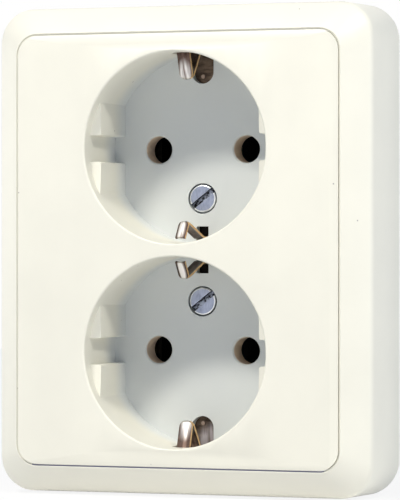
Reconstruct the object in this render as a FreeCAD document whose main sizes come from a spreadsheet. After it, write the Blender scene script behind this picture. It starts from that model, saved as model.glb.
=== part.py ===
import FreeCAD, Part
import Sketcher
import math
import os
import re

# Double socket for one round wall box, in millimetres.
# X runs to the right, Y into the wall and Z up. The wall plane is Y = 0.
# The origin is midway between the two fixing holes of the mounting strap, on its rear face.
# A station is a distance in front of the wall plane, so a station behind the wall is negative.

document = FreeCAD.newDocument("double_socket")

SIZES = [
    # Wells and plate, from the front
    ("rim_height", 23.2, "wall plane to the rim of the wells"),
    ("well_radius", 19.2, "round wall of a well"),
    ("partition", 2.6, "between the walls of the two wells"),
    ("well_depth", 17.5, "rim to floor"),
    ("well_wall", 1.6, "thickness of the round wall"),
    ("rim_rounding", 0.4, "fillet on the rim of a well"),
    ("floor_thickness", 2.0, "floor of a well"),
    ("side_margin", 14.78, "plate beside the wells"),
    ("end_margin", 3.7, "plate above and below the wells"),
    ("plate_corner", 4.05, "corner radius of the plate"),
    ("plate_thickness", 2.6, "plate at the rim of the wells"),
    ("dome_fall", 1.2, "how far the plate's sides lie below its middle"),
    ("slope_length", 3.5, "sloped ends of the plate"),
    ("slope_fall", 1.3, "how far the upper and lower edges lie below the rim"),
    ("skirt_thickness", 1.1, "skirt behind the plate"),
    ("skirt_setback", 1.88, "skirt inside the sides of the plate"),
    ("skirt_inset", 0.15, "skirt below the plate's upper and lower edges"),
    ("skirt_depth", 10.0, "skirt, from the rim"),
    # Guide ribs in the wells
    ("rib_height", 2.36, "flat of a guide rib inside the wall of the well"),
    ("rib_depth", 3.2, "top of a rib below the rim, at the wall"),
    ("rib_fall", 0.55, "slope of the rib's top towards the well"),
    ("notch_width", 5.35, "notch in the middle of a rib"),
    ("notch_rounding", 0.4, "corner of the notch"),
    # Pin holes
    ("pin_spacing", 19.0, "between the two pin holes"),
    ("pin_hole_radius", 2.8, "pin hole"),
    ("pin_chamfer", 0.3, "chamfer at the mouth of a pin hole"),
    ("collar_wall", 1.0, "collar behind a pin hole"),
    ("collar_length", 3.0, "collar behind the floor"),
    # Surround
    ("surround_width", 80.4, "surround at the wall"),
    ("surround_height", 99.2, "surround at the wall"),
    ("surround_corner", 7.4, "corner radius at the wall"),
    ("surround_draft", 0.42, "taper of each side up to the shoulder"),
    ("surround_wall", 2.0, "thickness of the shell"),
    ("shoulder_depth", 5.85, "shoulder below the rim of the wells"),
    ("shoulder_rounding", 1.0, "fillet on the shoulder"),
    ("window_depth", 1.23, "edge of the window below the rim of the wells"),
    ("groove_gap", 0.35, "gap between plate and surround"),
    ("ledge_thickness", 1.4, "ledge that the plate clamps"),
    ("ledge_setback", 5.4, "end of a ledge from the corner of the plate"),
    ("ledge_clearance", 0.3, "between ledge and skirt"),
    # Cover screws
    ("screw_setback", 9.2, "cover screw inside the wall of the well"),
    ("screw_head_radius", 3.02, "cover screw head"),
    ("screw_head_height", 1.9, "cover screw head"),
    ("screw_head_clearance", 0.1, "between head and counterbore"),
    ("screw_radius", 1.75, "cover screw shank"),
    ("screw_length", 11.0, "cover screw under its head"),
    ("slot_width", 1.0, "driver slot"),
    ("slot_depth", 0.9, "driver slot"),
    ("slot_angle", 38.0, "driver slot from the horizontal, in degrees"),
    ("boss_radius", 4.5, "boss behind the cover screw's seat"),
    ("boss_length", 1.4, "boss behind the floor"),
    ("bush_radius", 2.7, "threaded bush"),
    ("bush_length", 8.0, "threaded bush"),
    ("thread_clearance", 0.05, "between a screw and its thread"),
    # Earth contacts
    ("contact_thickness", 0.6, "outer earth contact"),
    ("contact_width", 2.7, "outer earth contact"),
    ("contact_crown", 0.3, "rise of the outer contact's face across its width"),
    ("contact_setout", 1.0, "root of the outer contact outside the wall of the well"),
    ("contact_reach", 5.41, "corner of the outer contact inside the wall of the well"),
    ("contact_tip_depth", 8.0, "corner of the outer contact below the rim"),
    ("contact_bend_depth", 13.4, "rear bend of the outer contact below the rim"),
    ("contact_end_setout", 0.3, "front end of the outer contact outside the wall of the well"),
    ("contact_end_depth", 5.9, "front end of the outer contact below the rim"),
    ("contact_tip_round", 1.3, "rounded corners of the outer contact's tip"),
    ("contact_tail", 1.4, "tail of a contact behind the front face of the earth bar"),
    ("contact_shoulder_gap", 0.1, "between a contact's shoulders and the earth bar"),
    ("channel_width", 4.8, "channel for the outer contact"),
    ("channel_depth", 5.3, "top of the channel below the rim"),
    ("channel_setout", 2.55, "back of the channel outside the wall of the well"),
    ("chimney_wall", 1.2, "side walls of the channel"),
    ("arch_reach", 5.75, "arch in the floor inside the wall of the well"),
    ("inner_thickness", 0.5, "inner earth contact"),
    ("inner_width", 2.1, "inner earth contact"),
    ("inner_crown", 0.2, "rise of the inner contact's face across its width"),
    ("inner_setback", 1.3, "root of the inner contact inside the wall of the well"),
    ("inner_reach", 4.26, "corner of the inner contact inside the wall of the well"),
    ("inner_tip_depth", 6.6, "corner of the inner contact below the rim"),
    ("inner_bend_depth", 15.6, "rear bend of the inner contact below the rim"),
    ("inner_end_setback", 1.1, "front end of the inner contact inside the wall of the well"),
    ("inner_end_depth", 4.2, "front end of the inner contact below the rim"),
    ("inner_tip_round", 0.9, "rounded corners of the inner contact's tip"),
    ("inner_slot_width", 2.6, "floor slot for the inner contact"),
    ("inner_slot_reach", 3.5, "floor slot inside the wall of the well"),
    ("recess_width", 3.2, "recess in the partition behind the inner contact"),
    ("recess_setout", 0.8, "back of that recess outside the wall of the well"),
    ("recess_depth", 3.4, "top of that recess below the rim"),
    ("bend_radius", 1.1, "middle of a contact's strip at its rear bend"),
    ("tip_bend_radius", 0.5, "middle of a contact's strip at its tip"),
    ("tail_width", 1.9, "tail of a contact"),
    ("slot_clearance", 0.25, "round a contact's tail in the earth bar"),
    # Earth bar
    ("bar_thickness", 0.8, "earth bar"),
    ("bar_width", 9.6, "earth bar"),
    ("bar_end_margin", 1.4, "earth bar past the outer contact's root"),
    ("bar_eye_radius", 7.0, "earth bar round the boss of a cover screw"),
    ("boss_clearance", 0.2, "round a cover screw's boss"),
    ("bar_rivet_setback", 7.4, "earth bar rivet inside the wall of the well"),
    ("bar_rivet_radius", 1.2, "earth bar rivet, flush with the bar"),
    ("bar_pip_setback", 4.2, "pip on the earth bar inside the wall of the well"),
    ("bar_pip_offset", 0.5, "pip left of the middle"),
    ("bar_pip_radius", 0.45, "pip on the earth bar"),
    ("bar_pip_height", 0.25, "pip on the earth bar"),
    ("earth_tongue_width", 3.8, "tongue into a terminal"),
    ("earth_tongue_gap", 0.5, "between that tongue and the hole for the lower boss"),
    # Contact base
    ("flange_rim", 2.7, "flange beside its strap rivets"),
    ("flange_margin", 0.4, "flange past the earth bar's end"),
    ("flange_corner", 9.0, "corner radius of the flange"),
    ("base_radius", 28.5, "body of the base behind the wall"),
    ("base_depth", 17.0, "base behind the wall plane"),
    ("base_front_wall", 1.2, "front wall of the chambers, behind the wall plane"),
    ("bay_reach", 3.1, "bay for a claw past its screw"),
    ("bay_clearance", 0.9, "beside the claw's pin in its bay"),
    ("bay_wall", 2.0, "between that bay and a terminal clamp"),
    ("collar_clearance", 0.15, "round a pin hole's collar"),
    ("lid_thickness", 1.6, "rear cover"),
    ("lid_margin", 1.3, "rim of the base round the rear cover"),
    ("lid_clearance", 0.15, "round the rear cover"),
    ("wire_radius", 1.6, "wire entry in the rear cover"),
    # Mounting strap
    ("strap_setback", 2.7, "mounting strap inside the surround"),
    ("strap_thickness", 1.0, "mounting strap"),
    ("strap_corner_cut", 9.0, "cut corner of the strap"),
    ("strap_clearance", 0.3, "between strap and base"),
    ("fixing_spacing", 60.0, "between the two fixing holes"),
    ("fixing_radius", 1.75, "fixing hole"),
    ("strap_rivet_gap", 5.31, "strap rivet outside the base"),
    ("strap_rivet_z", 24.5, "strap rivet above the middle"),
    ("strap_rivet_radius", 1.4, "strap rivet"),
    ("strap_rivet_head", 2.3, "strap rivet head radius"),
    ("strap_rivet_head_height", 0.8, "strap rivet head"),
    # Claws
    ("claw_lever", 3.6, "claw screw inside the claw's pivot"),
    ("claw_screw_radius", 1.5, "claw screw"),
    ("claw_screw_head", 2.6, "claw screw head radius"),
    ("claw_screw_head_height", 1.8, "claw screw head"),
    ("claw_screw_lift", 1.5, "head above the strap before the screw is driven"),
    ("claw_screw_tip", 4.3, "tip of the claw screw behind the wall plane"),
    ("claw_screw_point", 0.9, "chamfer on the tip of the claw screw"),
    ("claw_setback", 3.4, "claw pivot inside the fixing hole"),
    ("claw_pivot_y", 5.2, "claw pivot behind the wall plane"),
    ("claw_pin_radius", 0.9, "claw pin"),
    ("claw_pin_head", 1.6, "claw pin head radius"),
    ("claw_pin_head_height", 0.5, "claw pin head"),
    ("claw_pin_clearance", 0.05, "claw on its pin"),
    ("claw_eye_radius", 1.9, "claw round its pin"),
    ("claw_width", 9.4, "claw"),
    ("claw_thickness", 1.2, "claw"),
    ("claw_arm_past", 0.8, "inner arm of the claw past its screw"),
    ("claw_reach", 8.6, "tooth arm of the claw from its pivot"),
    ("claw_tooth", 1.5, "tooth past the arm's outer face"),
    ("claw_side_gap", 0.3, "between claw and ear"),
    ("ear_thickness", 1.0, "ear of the strap"),
    ("ear_half_length", 2.2, "ear on each side of the pivot"),
    # Busbars, pin clips and terminals
    ("clip_gap", 4.4, "between the leaves of a pin clip"),
    ("clip_mouth", 5.4, "between the leaves at their mouth"),
    ("clip_mouth_length", 1.6, "flared mouth of a pin clip"),
    ("clip_thickness", 0.6, "pin clip"),
    ("clip_half_width", 2.9, "leaf on each side of the pin"),
    ("clip_front", 2.2, "mouth of a pin clip behind the wall plane"),
    ("clip_length", 10.0, "pin clip"),
    ("busbar_thickness", 0.8, "busbar"),
    ("busbar_front", 2.6, "busbar behind the wall plane"),
    ("busbar_depth", 8.0, "busbar"),
    ("arm_width", 1.6, "arm of a busbar to its terminal"),
    ("arm_gap", 0.4, "between that arm and the terminal clamp"),
    ("busbar_past_clip", 1.2, "busbar past the centre of a pin clip"),
    ("chamber_clearance", 0.3, "round the metal parts in their chambers"),
    ("clamp_width", 6.6, "terminal clamp"),
    ("clamp_height", 7.0, "terminal clamp"),
    ("clamp_depth", 6.4, "terminal clamp"),
    ("clamp_wall", 1.2, "terminal clamp"),
    ("clamp_gap", 0.5, "between a busbar and the terminal clamp beside it"),
    ("tongue_lift", 0.1, "tongue above the clamp's inner wall"),
    ("terminal_screw_radius", 1.5, "terminal screw"),
    ("terminal_screw_head", 2.4, "terminal screw head radius"),
    ("terminal_screw_head_height", 1.8, "terminal screw head"),
    ("terminal_screw_gap", 2.2, "wire space between tongue and screw"),
    ("terminal_screw_neck", 1.2, "between clamp and screw head"),
    ("terminal_slot_width", 0.8, "driver slot of the small screws"),
    ("terminal_slot_depth", 0.8, "driver slot of the small screws"),
]

NAMES = {name for name, number, note in SIZES}

# Places worked out from the sizes above
WELL = "(well_radius + partition / 2)"
FLOOR = "(rim_height - well_depth)"
FLOOR_REAR = f"({FLOOR} - floor_thickness)"
BAR_REAR = f"({FLOOR_REAR} - bar_thickness)"
PLATE_REAR = "(rim_height - plate_thickness)"
PLATE_WIDTH = "(2 * (well_radius + side_margin))"
PLATE_HEIGHT = f"(2 * ({WELL} + well_radius + end_margin))"
SLOPE_START = f"({PLATE_HEIGHT} / 2 - slope_length)"
SKIRT_WIDTH = f"({PLATE_WIDTH} - 2 * skirt_setback)"
RIB = "(well_radius - rib_height)"
SCREW = "(partition / 2 + screw_setback)"
SHOULDER = "(rim_height - shoulder_depth)"
WINDOW_FRONT = "(rim_height - window_depth)"
WINDOW_WIDTH = f"({PLATE_WIDTH} + 2 * groove_gap)"
WINDOW_HEIGHT = f"({PLATE_HEIGHT} + 2 * groove_gap)"
WINDOW_CORNER = "(plate_corner + groove_gap)"
CONTACT_FOOT = "(well_radius + contact_setout)"
INNER_FOOT = "(well_radius - inner_setback)"
BAR_END = f"({WELL} + {CONTACT_FOOT} + bar_end_margin)"
BAR_RIVET = f"({WELL} + well_radius - bar_rivet_setback)"
EARTH_TONGUE = f"({SCREW} + boss_radius + boss_clearance + earth_tongue_gap)"
EARTH_CLAMP = f"({EARTH_TONGUE} - clamp_wall - tongue_lift)"
CLAW_PIVOT = "(fixing_spacing / 2 - claw_setback)"
CLAW_SCREW = f"({CLAW_PIVOT} - claw_lever)"
EAR_INNER = "(claw_width / 2 + claw_side_gap)"
EAR_OUTER = f"({EAR_INNER} + ear_thickness)"
BAY_PLACE = f"({CLAW_SCREW} - bay_reach)"
BAY_WIDTH = f"(2 * ({EAR_OUTER} + claw_pin_head_height + bay_clearance))"
CLIP_WEB = "(pin_spacing / 2 + clip_half_width + clip_thickness)"
BUSBAR_TOP = f"({WELL} + busbar_past_clip)"
CLAMP_X = f"({CLIP_WEB} + busbar_thickness + clamp_gap + clamp_width / 2)"
CLAMP_Z = f"({BAY_WIDTH} / 2 + bay_wall)"
CLAMP_MIDDLE = "(busbar_front + arm_width + arm_gap + clamp_depth / 2)"
STRAP_WIDTH = "(surround_width - 2 * surround_wall - 2 * strap_setback)"
RIVET_DISTANCE = "(base_radius + strap_rivet_gap)"
STRAP_RIVET_X = f"sqrt({RIVET_DISTANCE} * {RIVET_DISTANCE} - strap_rivet_z * strap_rivet_z)"
FLANGE_WIDTH = f"(2 * ({STRAP_RIVET_X} + flange_rim))"


def make_sheet():
    sheet = document.addObject("Spreadsheet::Sheet", "sizes")
    for row, (name, number, note) in enumerate(SIZES, start=1):
        sheet.set(f"A{row}", name)
        sheet.set(f"B{row}", str(number))
        sheet.set(f"C{row}", note)
        sheet.setAlias(f"B{row}", name)
    document.recompute()
    return sheet


sheet = make_sheet()


def bound(expression):
    """The expression with every size's name pointing at its cell."""
    def point_at_cell(match):
        word = match.group(0)
        return f"sizes.{word}" if word in NAMES else word
    return re.sub(r"[a-z_]+", point_at_cell, expression)


def value(expression):
    return float(sheet.evalExpression(bound(expression)))


def bind(item, setting, expression):
    item.setExpression(setting, bound(expression))


# Shapes that a sketch can hold, each given by expressions

HALF_ROUND = "half round"


def outline(corners, arcs=None):
    """A closed line through the corners. arcs gives an edge's radius and its turn, 1 for anticlockwise.

    A radius of HALF_ROUND makes a level edge into a half circle.
    """
    arcs = arcs or {}

    def draw(sketch):
        first = sketch.GeometryCount
        points = [FreeCAD.Vector(value(x), value(z), 0) for x, z in corners]
        count = len(points)
        for number in range(count):
            here = points[number]
            following = points[(number + 1) % count]
            if number in arcs and arcs[number][0] == HALF_ROUND:
                radius = here.distanceToPoint(following) / 2
                sketch.addGeometry(arc_between(here, following, radius, arcs[number][1]), False)
                fix_height(sketch, first + number, 3, corners[number][1])
            elif number in arcs:
                radius, turn = arcs[number]
                sketch.addGeometry(arc_between(here, following, value(radius), turn), False)
                fix_radius(sketch, first + number, radius)
            else:
                sketch.addGeometry(Part.LineSegment(here, following), False)
        for number in range(count):
            start = 2 if arcs.get(number, ("", 1))[1] < 0 else 1
            before = (number - 1) % count
            end = 1 if arcs.get(before, ("", 1))[1] < 0 else 2
            sketch.addConstraint(Sketcher.Constraint("Coincident", first + before, end, first + number, start))
            fix_point(sketch, first + number, start, *corners[number])
    return draw


def fix_point(sketch, edge, end, x, z):
    number = sketch.addConstraint(Sketcher.Constraint("DistanceX", -1, 1, edge, end, value(x)))
    bind(sketch, f"Constraints[{number}]", x)
    fix_height(sketch, edge, end, z)


def fix_height(sketch, edge, end, z):
    number = sketch.addConstraint(Sketcher.Constraint("DistanceY", -1, 1, edge, end, value(z)))
    bind(sketch, f"Constraints[{number}]", z)


def fix_radius(sketch, edge, radius):
    number = sketch.addConstraint(Sketcher.Constraint("Radius", edge, value(radius)))
    bind(sketch, f"Constraints[{number}]", radius)


def arc_between(start, end, radius, turn):
    chord = end - start
    half = chord.Length / 2
    rise = math.sqrt(max(radius * radius - half * half, 0))
    left = FreeCAD.Vector(-chord.y, chord.x, 0).normalize()
    centre = (start + end) / 2 + left * rise * turn
    first, last = (start, end) if turn > 0 else (end, start)
    from_angle = math.atan2(first.y - centre.y, first.x - centre.x)
    to_angle = math.atan2(last.y - centre.y, last.x - centre.x)
    if to_angle <= from_angle:
        to_angle += 2 * math.pi
    circle = Part.Circle(centre, FreeCAD.Vector(0, 0, 1), radius)
    return Part.ArcOfCircle(circle, from_angle, to_angle)


def disc(x, z, radius):
    def draw(sketch):
        centre = FreeCAD.Vector(value(x), value(z), 0)
        circle = Part.Circle(centre, FreeCAD.Vector(0, 0, 1), value(radius))
        edge = sketch.addGeometry(circle, False)
        fix_point(sketch, edge, 3, x, z)
        fix_radius(sketch, edge, radius)
    return draw


def slab(left, right, low, high):
    return outline([(left, low), (right, low), (right, high), (left, high)])


def rounded(width, height, radius):
    """A rectangle about the origin with rounded corners."""
    side = f"({width}) / 2"
    top = f"({height}) / 2"
    inner_side = f"({side} - ({radius}))"
    inner_top = f"({top} - ({radius}))"
    corners = [
        (f"-{inner_side}", f"-{top}"),
        (inner_side, f"-{top}"),
        (side, f"-{inner_top}"),
        (side, inner_top),
        (inner_side, top),
        (f"-{inner_side}", top),
        (f"-{side}", inner_top),
        (f"-{side}", f"-{inner_top}"),
    ]
    return outline(corners, {number: (radius, 1) for number in (1, 3, 5, 7)})


def bayed_disc(radius, bay_place, bay_width):
    """A disc with a square bay cut into its left and its right side."""
    half = f"({bay_width}) / 2"
    far = f"sqrt(({radius}) * ({radius}) - {half} * {half})"
    corners = [
        (bay_place, half),
        (far, half),
        (f"-{far}", half),
        (f"-({bay_place})", half),
        (f"-({bay_place})", f"-{half}"),
        (f"-{far}", f"-{half}"),
        (far, f"-{half}"),
        (bay_place, f"-{half}"),
    ]
    return outline(corners, {1: (radius, 1), 5: (radius, 1)})


def turned_slab(length, width, angle):
    """A rectangle about the origin, turned by the angle."""
    corners = []
    for along, across in ((-1, -1), (1, -1), (1, 1), (-1, 1)):
        x = f"({along} * ({length}) * cos({angle}) - {across} * ({width}) * sin({angle})) / 2"
        z = f"({along} * ({length}) * sin({angle}) + {across} * ({width}) * cos({angle})) / 2"
        corners.append((x, z))
    return outline(corners)


# Features of a body

def make_body(label):
    body = document.addObject("PartDesign::Body", label)
    body.Label = label
    return body


def sketch_on(body, name, role, offset, shapes):
    """A sketch on the body's own origin plane, moved along that plane's normal."""
    plane = [feature for feature in body.Origin.OriginFeatures if feature.Role == role][0]
    sketch = body.newObject("Sketcher::SketchObject", name)
    sketch.AttachmentSupport = (plane, [""])
    sketch.MapMode = "FlatFace"
    bind(sketch, "AttachmentOffset.Base.z", offset)
    for draw in shapes:
        draw(sketch)
    sketch.Visibility = False
    return sketch


def pad(body, name, rear, front, *shapes):
    """Material between two stations."""
    sketch = sketch_on(body, f"{name}_sketch", "XZ_Plane", rear, shapes)
    feature = body.newObject("PartDesign::Pad", name)
    feature.Profile = sketch
    bind(feature, "Length", f"({front}) - ({rear})")
    return feature


def pocket(body, name, rear, front, *shapes):
    """A cut between two stations."""
    sketch = sketch_on(body, f"{name}_sketch", "XZ_Plane", front, shapes)
    feature = body.newObject("PartDesign::Pocket", name)
    feature.Profile = sketch
    bind(feature, "Length", f"({front}) - ({rear})")
    return feature


def pad_up(body, name, low, high, *shapes):
    """Material between two heights, from a sketch of X and Y."""
    sketch = sketch_on(body, f"{name}_sketch", "XY_Plane", low, shapes)
    feature = body.newObject("PartDesign::Pad", name)
    feature.Profile = sketch
    bind(feature, "Length", f"({high}) - ({low})")
    return feature


def pocket_up(body, name, low, high, *shapes):
    """A cut between two heights, from a sketch of X and Y."""
    sketch = sketch_on(body, f"{name}_sketch", "XY_Plane", high, shapes)
    feature = body.newObject("PartDesign::Pocket", name)
    feature.Profile = sketch
    bind(feature, "Length", f"({high}) - ({low})")
    return feature


def pad_across(body, name, left, right, *shapes):
    """Material between two places on X, from a sketch of Y and Z."""
    sketch = sketch_on(body, f"{name}_sketch", "YZ_Plane", left, shapes)
    feature = body.newObject("PartDesign::Pad", name)
    feature.Profile = sketch
    bind(feature, "Length", f"({right}) - ({left})")
    return feature


def pocket_across(body, name, left, right, *shapes):
    """A cut between two places on X, from a sketch of Y and Z."""
    sketch = sketch_on(body, f"{name}_sketch", "YZ_Plane", right, shapes)
    feature = body.newObject("PartDesign::Pocket", name)
    feature.Profile = sketch
    bind(feature, "Length", f"({right}) - ({left})")
    return feature


def loft(body, name, kind, first, second):
    """A loft between two sections, each given by its station and its shape."""
    sketches = []
    for number, (station, shape) in enumerate((first, second), start=1):
        sketches.append(sketch_on(body, f"{name}_section_{number}", "XZ_Plane", station, [shape]))
    feature = body.newObject(kind, name)
    feature.Profile = sketches[0]
    feature.Sections = [sketches[1]]
    feature.Ruled = True
    return feature


def dress(body, name, kind, chosen, size):
    """A fillet or a chamfer on the edges of the body's tip that chosen picks."""
    document.recompute()
    base = body.Tip
    names = []
    for number, edge in enumerate(base.Shape.Edges, start=1):
        if chosen(edge):
            names.append(f"Edge{number}")
    feature = body.newObject(kind, name)
    feature.Base = (base, names)
    bind(feature, "Radius" if kind.endswith("Fillet") else "Size", size)
    return feature


def place(item, x="0", z="0", turned=False):
    """Move a finished piece along X and Z, turned half round the Y axis where asked."""
    angle = 180 if turned else 0
    turn = FreeCAD.Rotation(FreeCAD.Vector(0, 1, 0), angle)
    item.Placement = FreeCAD.Placement(FreeCAD.Vector(0, 0, 0), turn)
    bind(item, "Placement.Base.x", x)
    bind(item, "Placement.Base.z", z)


def rod(name, x, z, radius, rear, front):
    """A plain cylinder along Y between two stations."""
    cylinder = document.addObject("Part::Cylinder", name)
    turn = FreeCAD.Rotation(FreeCAD.Vector(1, 0, 0), 90)
    cylinder.Placement = FreeCAD.Placement(FreeCAD.Vector(0, 0, 0), turn)
    bind(cylinder, "Radius", radius)
    bind(cylinder, "Height", f"({front}) - ({rear})")
    bind(cylinder, "Placement.Base.x", x)
    bind(cylinder, "Placement.Base.y", f"-({rear})")
    bind(cylinder, "Placement.Base.z", z)
    return cylinder


def fused(name, pieces):
    joined = document.addObject("Part::MultiFuse", name)
    joined.Shapes = pieces
    joined.Label = name
    return joined


def gathered(name, pieces):
    """Like pieces kept as separate solids of one sub-part."""
    group = document.addObject("Part::Compound", name)
    group.Links = pieces
    group.Label = name
    return group


# Surround frame: a moulded shell with tapered sides, a bevelled front and a window for the plate

def make_surround_frame():
    body = make_body("surround_frame")
    window = rounded(WINDOW_WIDTH, WINDOW_HEIGHT, WINDOW_CORNER)
    wall_section = rounded("surround_width", "surround_height", "surround_corner")
    shoulder_section = rounded(
        "surround_width - 2 * surround_draft",
        "surround_height - 2 * surround_draft",
        "surround_corner - surround_draft",
    )
    loft(body, "sides", "PartDesign::AdditiveLoft", ("0", wall_section), (SHOULDER, shoulder_section))
    loft(body, "bevel", "PartDesign::AdditiveLoft", (SHOULDER, shoulder_section), (WINDOW_FRONT, window))

    def on_shoulder(edge):
        box = edge.BoundBox
        level = -value(SHOULDER)
        return abs(box.YMin - level) < 0.01 and abs(box.YMax - level) < 0.01

    dress(body, "shoulder_fillet", "PartDesign::Fillet", on_shoulder, "shoulder_rounding")
    slope = (
        "((shoulder_depth - window_depth)"
        f" / ((surround_width - 2 * surround_draft - {WINDOW_WIDTH}) / 2))"
    )
    drop = f"(surround_wall * sqrt(1 + {slope} * {slope}))"
    inner_shoulder = f"({SHOULDER} - {drop} + surround_wall * {slope})"
    inner_wall_section = rounded(
        "surround_width - 2 * surround_wall",
        "surround_height - 2 * surround_wall",
        "surround_corner - surround_wall",
    )
    inner_shoulder_section = rounded(
        "surround_width - 2 * surround_draft - 2 * surround_wall",
        "surround_height - 2 * surround_draft - 2 * surround_wall",
        "surround_corner - surround_draft - surround_wall",
    )
    loft(
        body, "hollow", "PartDesign::SubtractiveLoft",
        ("0", inner_wall_section), (inner_shoulder, inner_shoulder_section),
    )
    loft(
        body, "bevel_hollow", "PartDesign::SubtractiveLoft",
        (inner_shoulder, inner_shoulder_section), (f"{WINDOW_FRONT} - {drop}", window),
    )
    pocket(body, "window", "0", "rim_height", window)
    inner = f"({SKIRT_WIDTH} / 2 + ledge_clearance)"
    outer = f"({WINDOW_WIDTH} / 2 + surround_wall / 4)"
    half = f"({PLATE_HEIGHT} / 2 - ledge_setback)"
    pad(
        body, "ledges", f"{PLATE_REAR} - ledge_thickness", PLATE_REAR,
        slab(inner, outer, f"-{half}", half),
        slab(f"-{outer}", f"-{inner}", f"-{half}", half),
    )
    return body


# Cover: the domed centre plate moulded in one with the two wells

def rib_half(side, end, centre):
    """One half of a guide rib, between its notch and its outer end."""
    radius = "(well_radius + well_wall / 2)"
    low = "(notch_width / 2)"
    flat_end = f"sqrt({radius} * {radius} - {RIB} * {RIB})"
    wall_low = f"sqrt({radius} * {radius} - {low} * {low})"
    corners = [
        (RIB, f"({low} + notch_rounding)"),
        (RIB, flat_end),
        (wall_low, low),
        (f"({RIB} + notch_rounding)", low),
    ]
    placed = [(f"{side} * {x}", f"{centre} + {end} * {z}") for x, z in corners]
    turn = -side * end
    return outline(placed, {1: (radius, turn), 3: ("notch_rounding", turn)})


def make_socket_cover():
    body = make_body("socket_cover")
    pad(body, "plate", PLATE_REAR, "rim_height", rounded(PLATE_WIDTH, PLATE_HEIGHT, "plate_corner"))
    dome(body)
    skirt_height = f"({PLATE_HEIGHT} - 2 * skirt_inset)"
    skirt_corner = "(plate_corner - skirt_inset)"
    pad(
        body, "skirt", "rim_height - skirt_depth", PLATE_REAR,
        rounded(SKIRT_WIDTH, skirt_height, skirt_corner),
        rounded(
            f"{SKIRT_WIDTH} - 2 * skirt_thickness",
            f"{skirt_height} - 2 * skirt_thickness",
            f"{skirt_corner} - skirt_thickness",
        ),
    )
    for end, name in ((1, "upper"), (-1, "lower")):
        cup(body, name, end)
    for end, name in ((1, "upper"), (-1, "lower")):
        ribs(body, name, end)
    round_rims(body)
    sloped_ends(body)
    for end, name in ((1, "upper"), (-1, "lower")):
        floor_holes(body, name, end)
        contact_spaces(body, name, end)
    chamfer_pin_holes(body)
    return body


def dome(body):
    """The plate falls away to both sides as part of a large upright cylinder."""
    half = f"({PLATE_WIDTH} / 2)"
    radius = f"(({half} * {half} + dome_fall * dome_fall) / (2 * dome_fall))"
    edge = "-(rim_height - dome_fall)"
    ahead = "-(rim_height + dome_fall)"
    corners = [(half, edge), (f"-{half}", edge), (f"-{half}", ahead), (half, ahead)]
    top = PLATE_HEIGHT
    pocket_up(body, "dome", f"-{top}", top, outline(corners, {0: (radius, -1)}))


def sloped_ends(body):
    """Flat slopes along the plate's upper and lower edge."""
    for end, name in ((1, "upper"), (-1, "lower")):
        corners = [
            ("-rim_height", SLOPE_START),
            ("-(rim_height - slope_fall)", f"{PLATE_HEIGHT} / 2"),
            ("-(rim_height - slope_fall)", PLATE_HEIGHT),
            ("-(rim_height + slope_fall)", PLATE_HEIGHT),
            ("-(rim_height + slope_fall)", SLOPE_START),
        ]
        placed = [(y, f"{end} * {z}") for y, z in corners]
        pocket_across(body, f"{name}_slope", f"-{PLATE_WIDTH}", PLATE_WIDTH, outline(placed))


def cup(body, name, end):
    centre = f"{end} * {WELL}"
    pad(body, f"{name}_cup", FLOOR_REAR, PLATE_REAR, disc("0", centre, "well_radius + well_wall"))
    half = "(channel_width / 2 + chimney_wall)"
    low = f"{end} * {WELL} + {end} * well_radius"
    high = f"{end} * ({PLATE_HEIGHT} / 2 - skirt_inset)"
    pad(body, f"{name}_chimney", FLOOR_REAR, PLATE_REAR, slab(f"-{half}", half, low, high))
    pocket(body, f"{name}_well", FLOOR, "rim_height + dome_fall", disc("0", centre, "well_radius"))


def ribs(body, name, end):
    centre = f"{end} * {WELL}"
    halves = []
    for side in (1, -1):
        for half in (1, -1):
            halves.append(rib_half(side, half, centre))
    pad(body, f"{name}_ribs", FLOOR, "rim_height - rib_depth", *halves)
    slope = f"(rib_fall / (well_radius - {RIB}))"
    cone = body.newObject("PartDesign::SubtractiveCone", f"{name}_rib_slope")
    turn = FreeCAD.Rotation(FreeCAD.Vector(1, 0, 0), -90)
    cone.Placement = FreeCAD.Placement(FreeCAD.Vector(0, 0, 0), turn)
    bind(cone, "Radius1", "well_radius")
    cone.Radius2 = 0
    bind(cone, "Height", f"well_radius * {slope}")
    bind(cone, "Placement.Base.y", "-(rim_height - rib_depth)")
    bind(cone, "Placement.Base.z", centre)


def round_rims(body):
    radius = value("well_radius")
    level = -value("rim_height - dome_fall") + 0.1

    def on_rim(edge):
        if edge.BoundBox.YMax > level:
            return False
        centre = value(WELL) if edge.CenterOfMass.z > 0 else -value(WELL)
        for point in edge.discretize(9):
            if abs(math.hypot(point.x, point.z - centre) - radius) > 0.01:
                return False
        return True

    dress(body, "rim_fillet", "PartDesign::Fillet", on_rim, "rim_rounding")


def floor_holes(body, name, end):
    centre = f"{end} * {WELL}"
    screw = f"{end} * {SCREW}"
    pins = ("pin_spacing / 2", "-pin_spacing / 2")
    collar = "pin_hole_radius + collar_wall"
    collar_end = f"{FLOOR_REAR} - collar_length"
    boss_end = f"{FLOOR_REAR} - boss_length"
    seat = f"{FLOOR} - screw_head_height"
    pad(body, f"{name}_collars", collar_end, FLOOR_REAR, *[disc(x, centre, collar) for x in pins])
    pad(body, f"{name}_boss", boss_end, FLOOR_REAR, disc("0", screw, "boss_radius"))
    pocket(body, f"{name}_pin_holes", collar_end, FLOOR, *[disc(x, centre, "pin_hole_radius") for x in pins])
    pocket(
        body, f"{name}_head_seat", seat, FLOOR,
        disc("0", screw, "screw_head_radius + screw_head_clearance"),
    )
    pocket(
        body, f"{name}_screw_hole", boss_end, seat,
        disc("0", screw, "screw_radius + screw_head_clearance"),
    )


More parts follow.
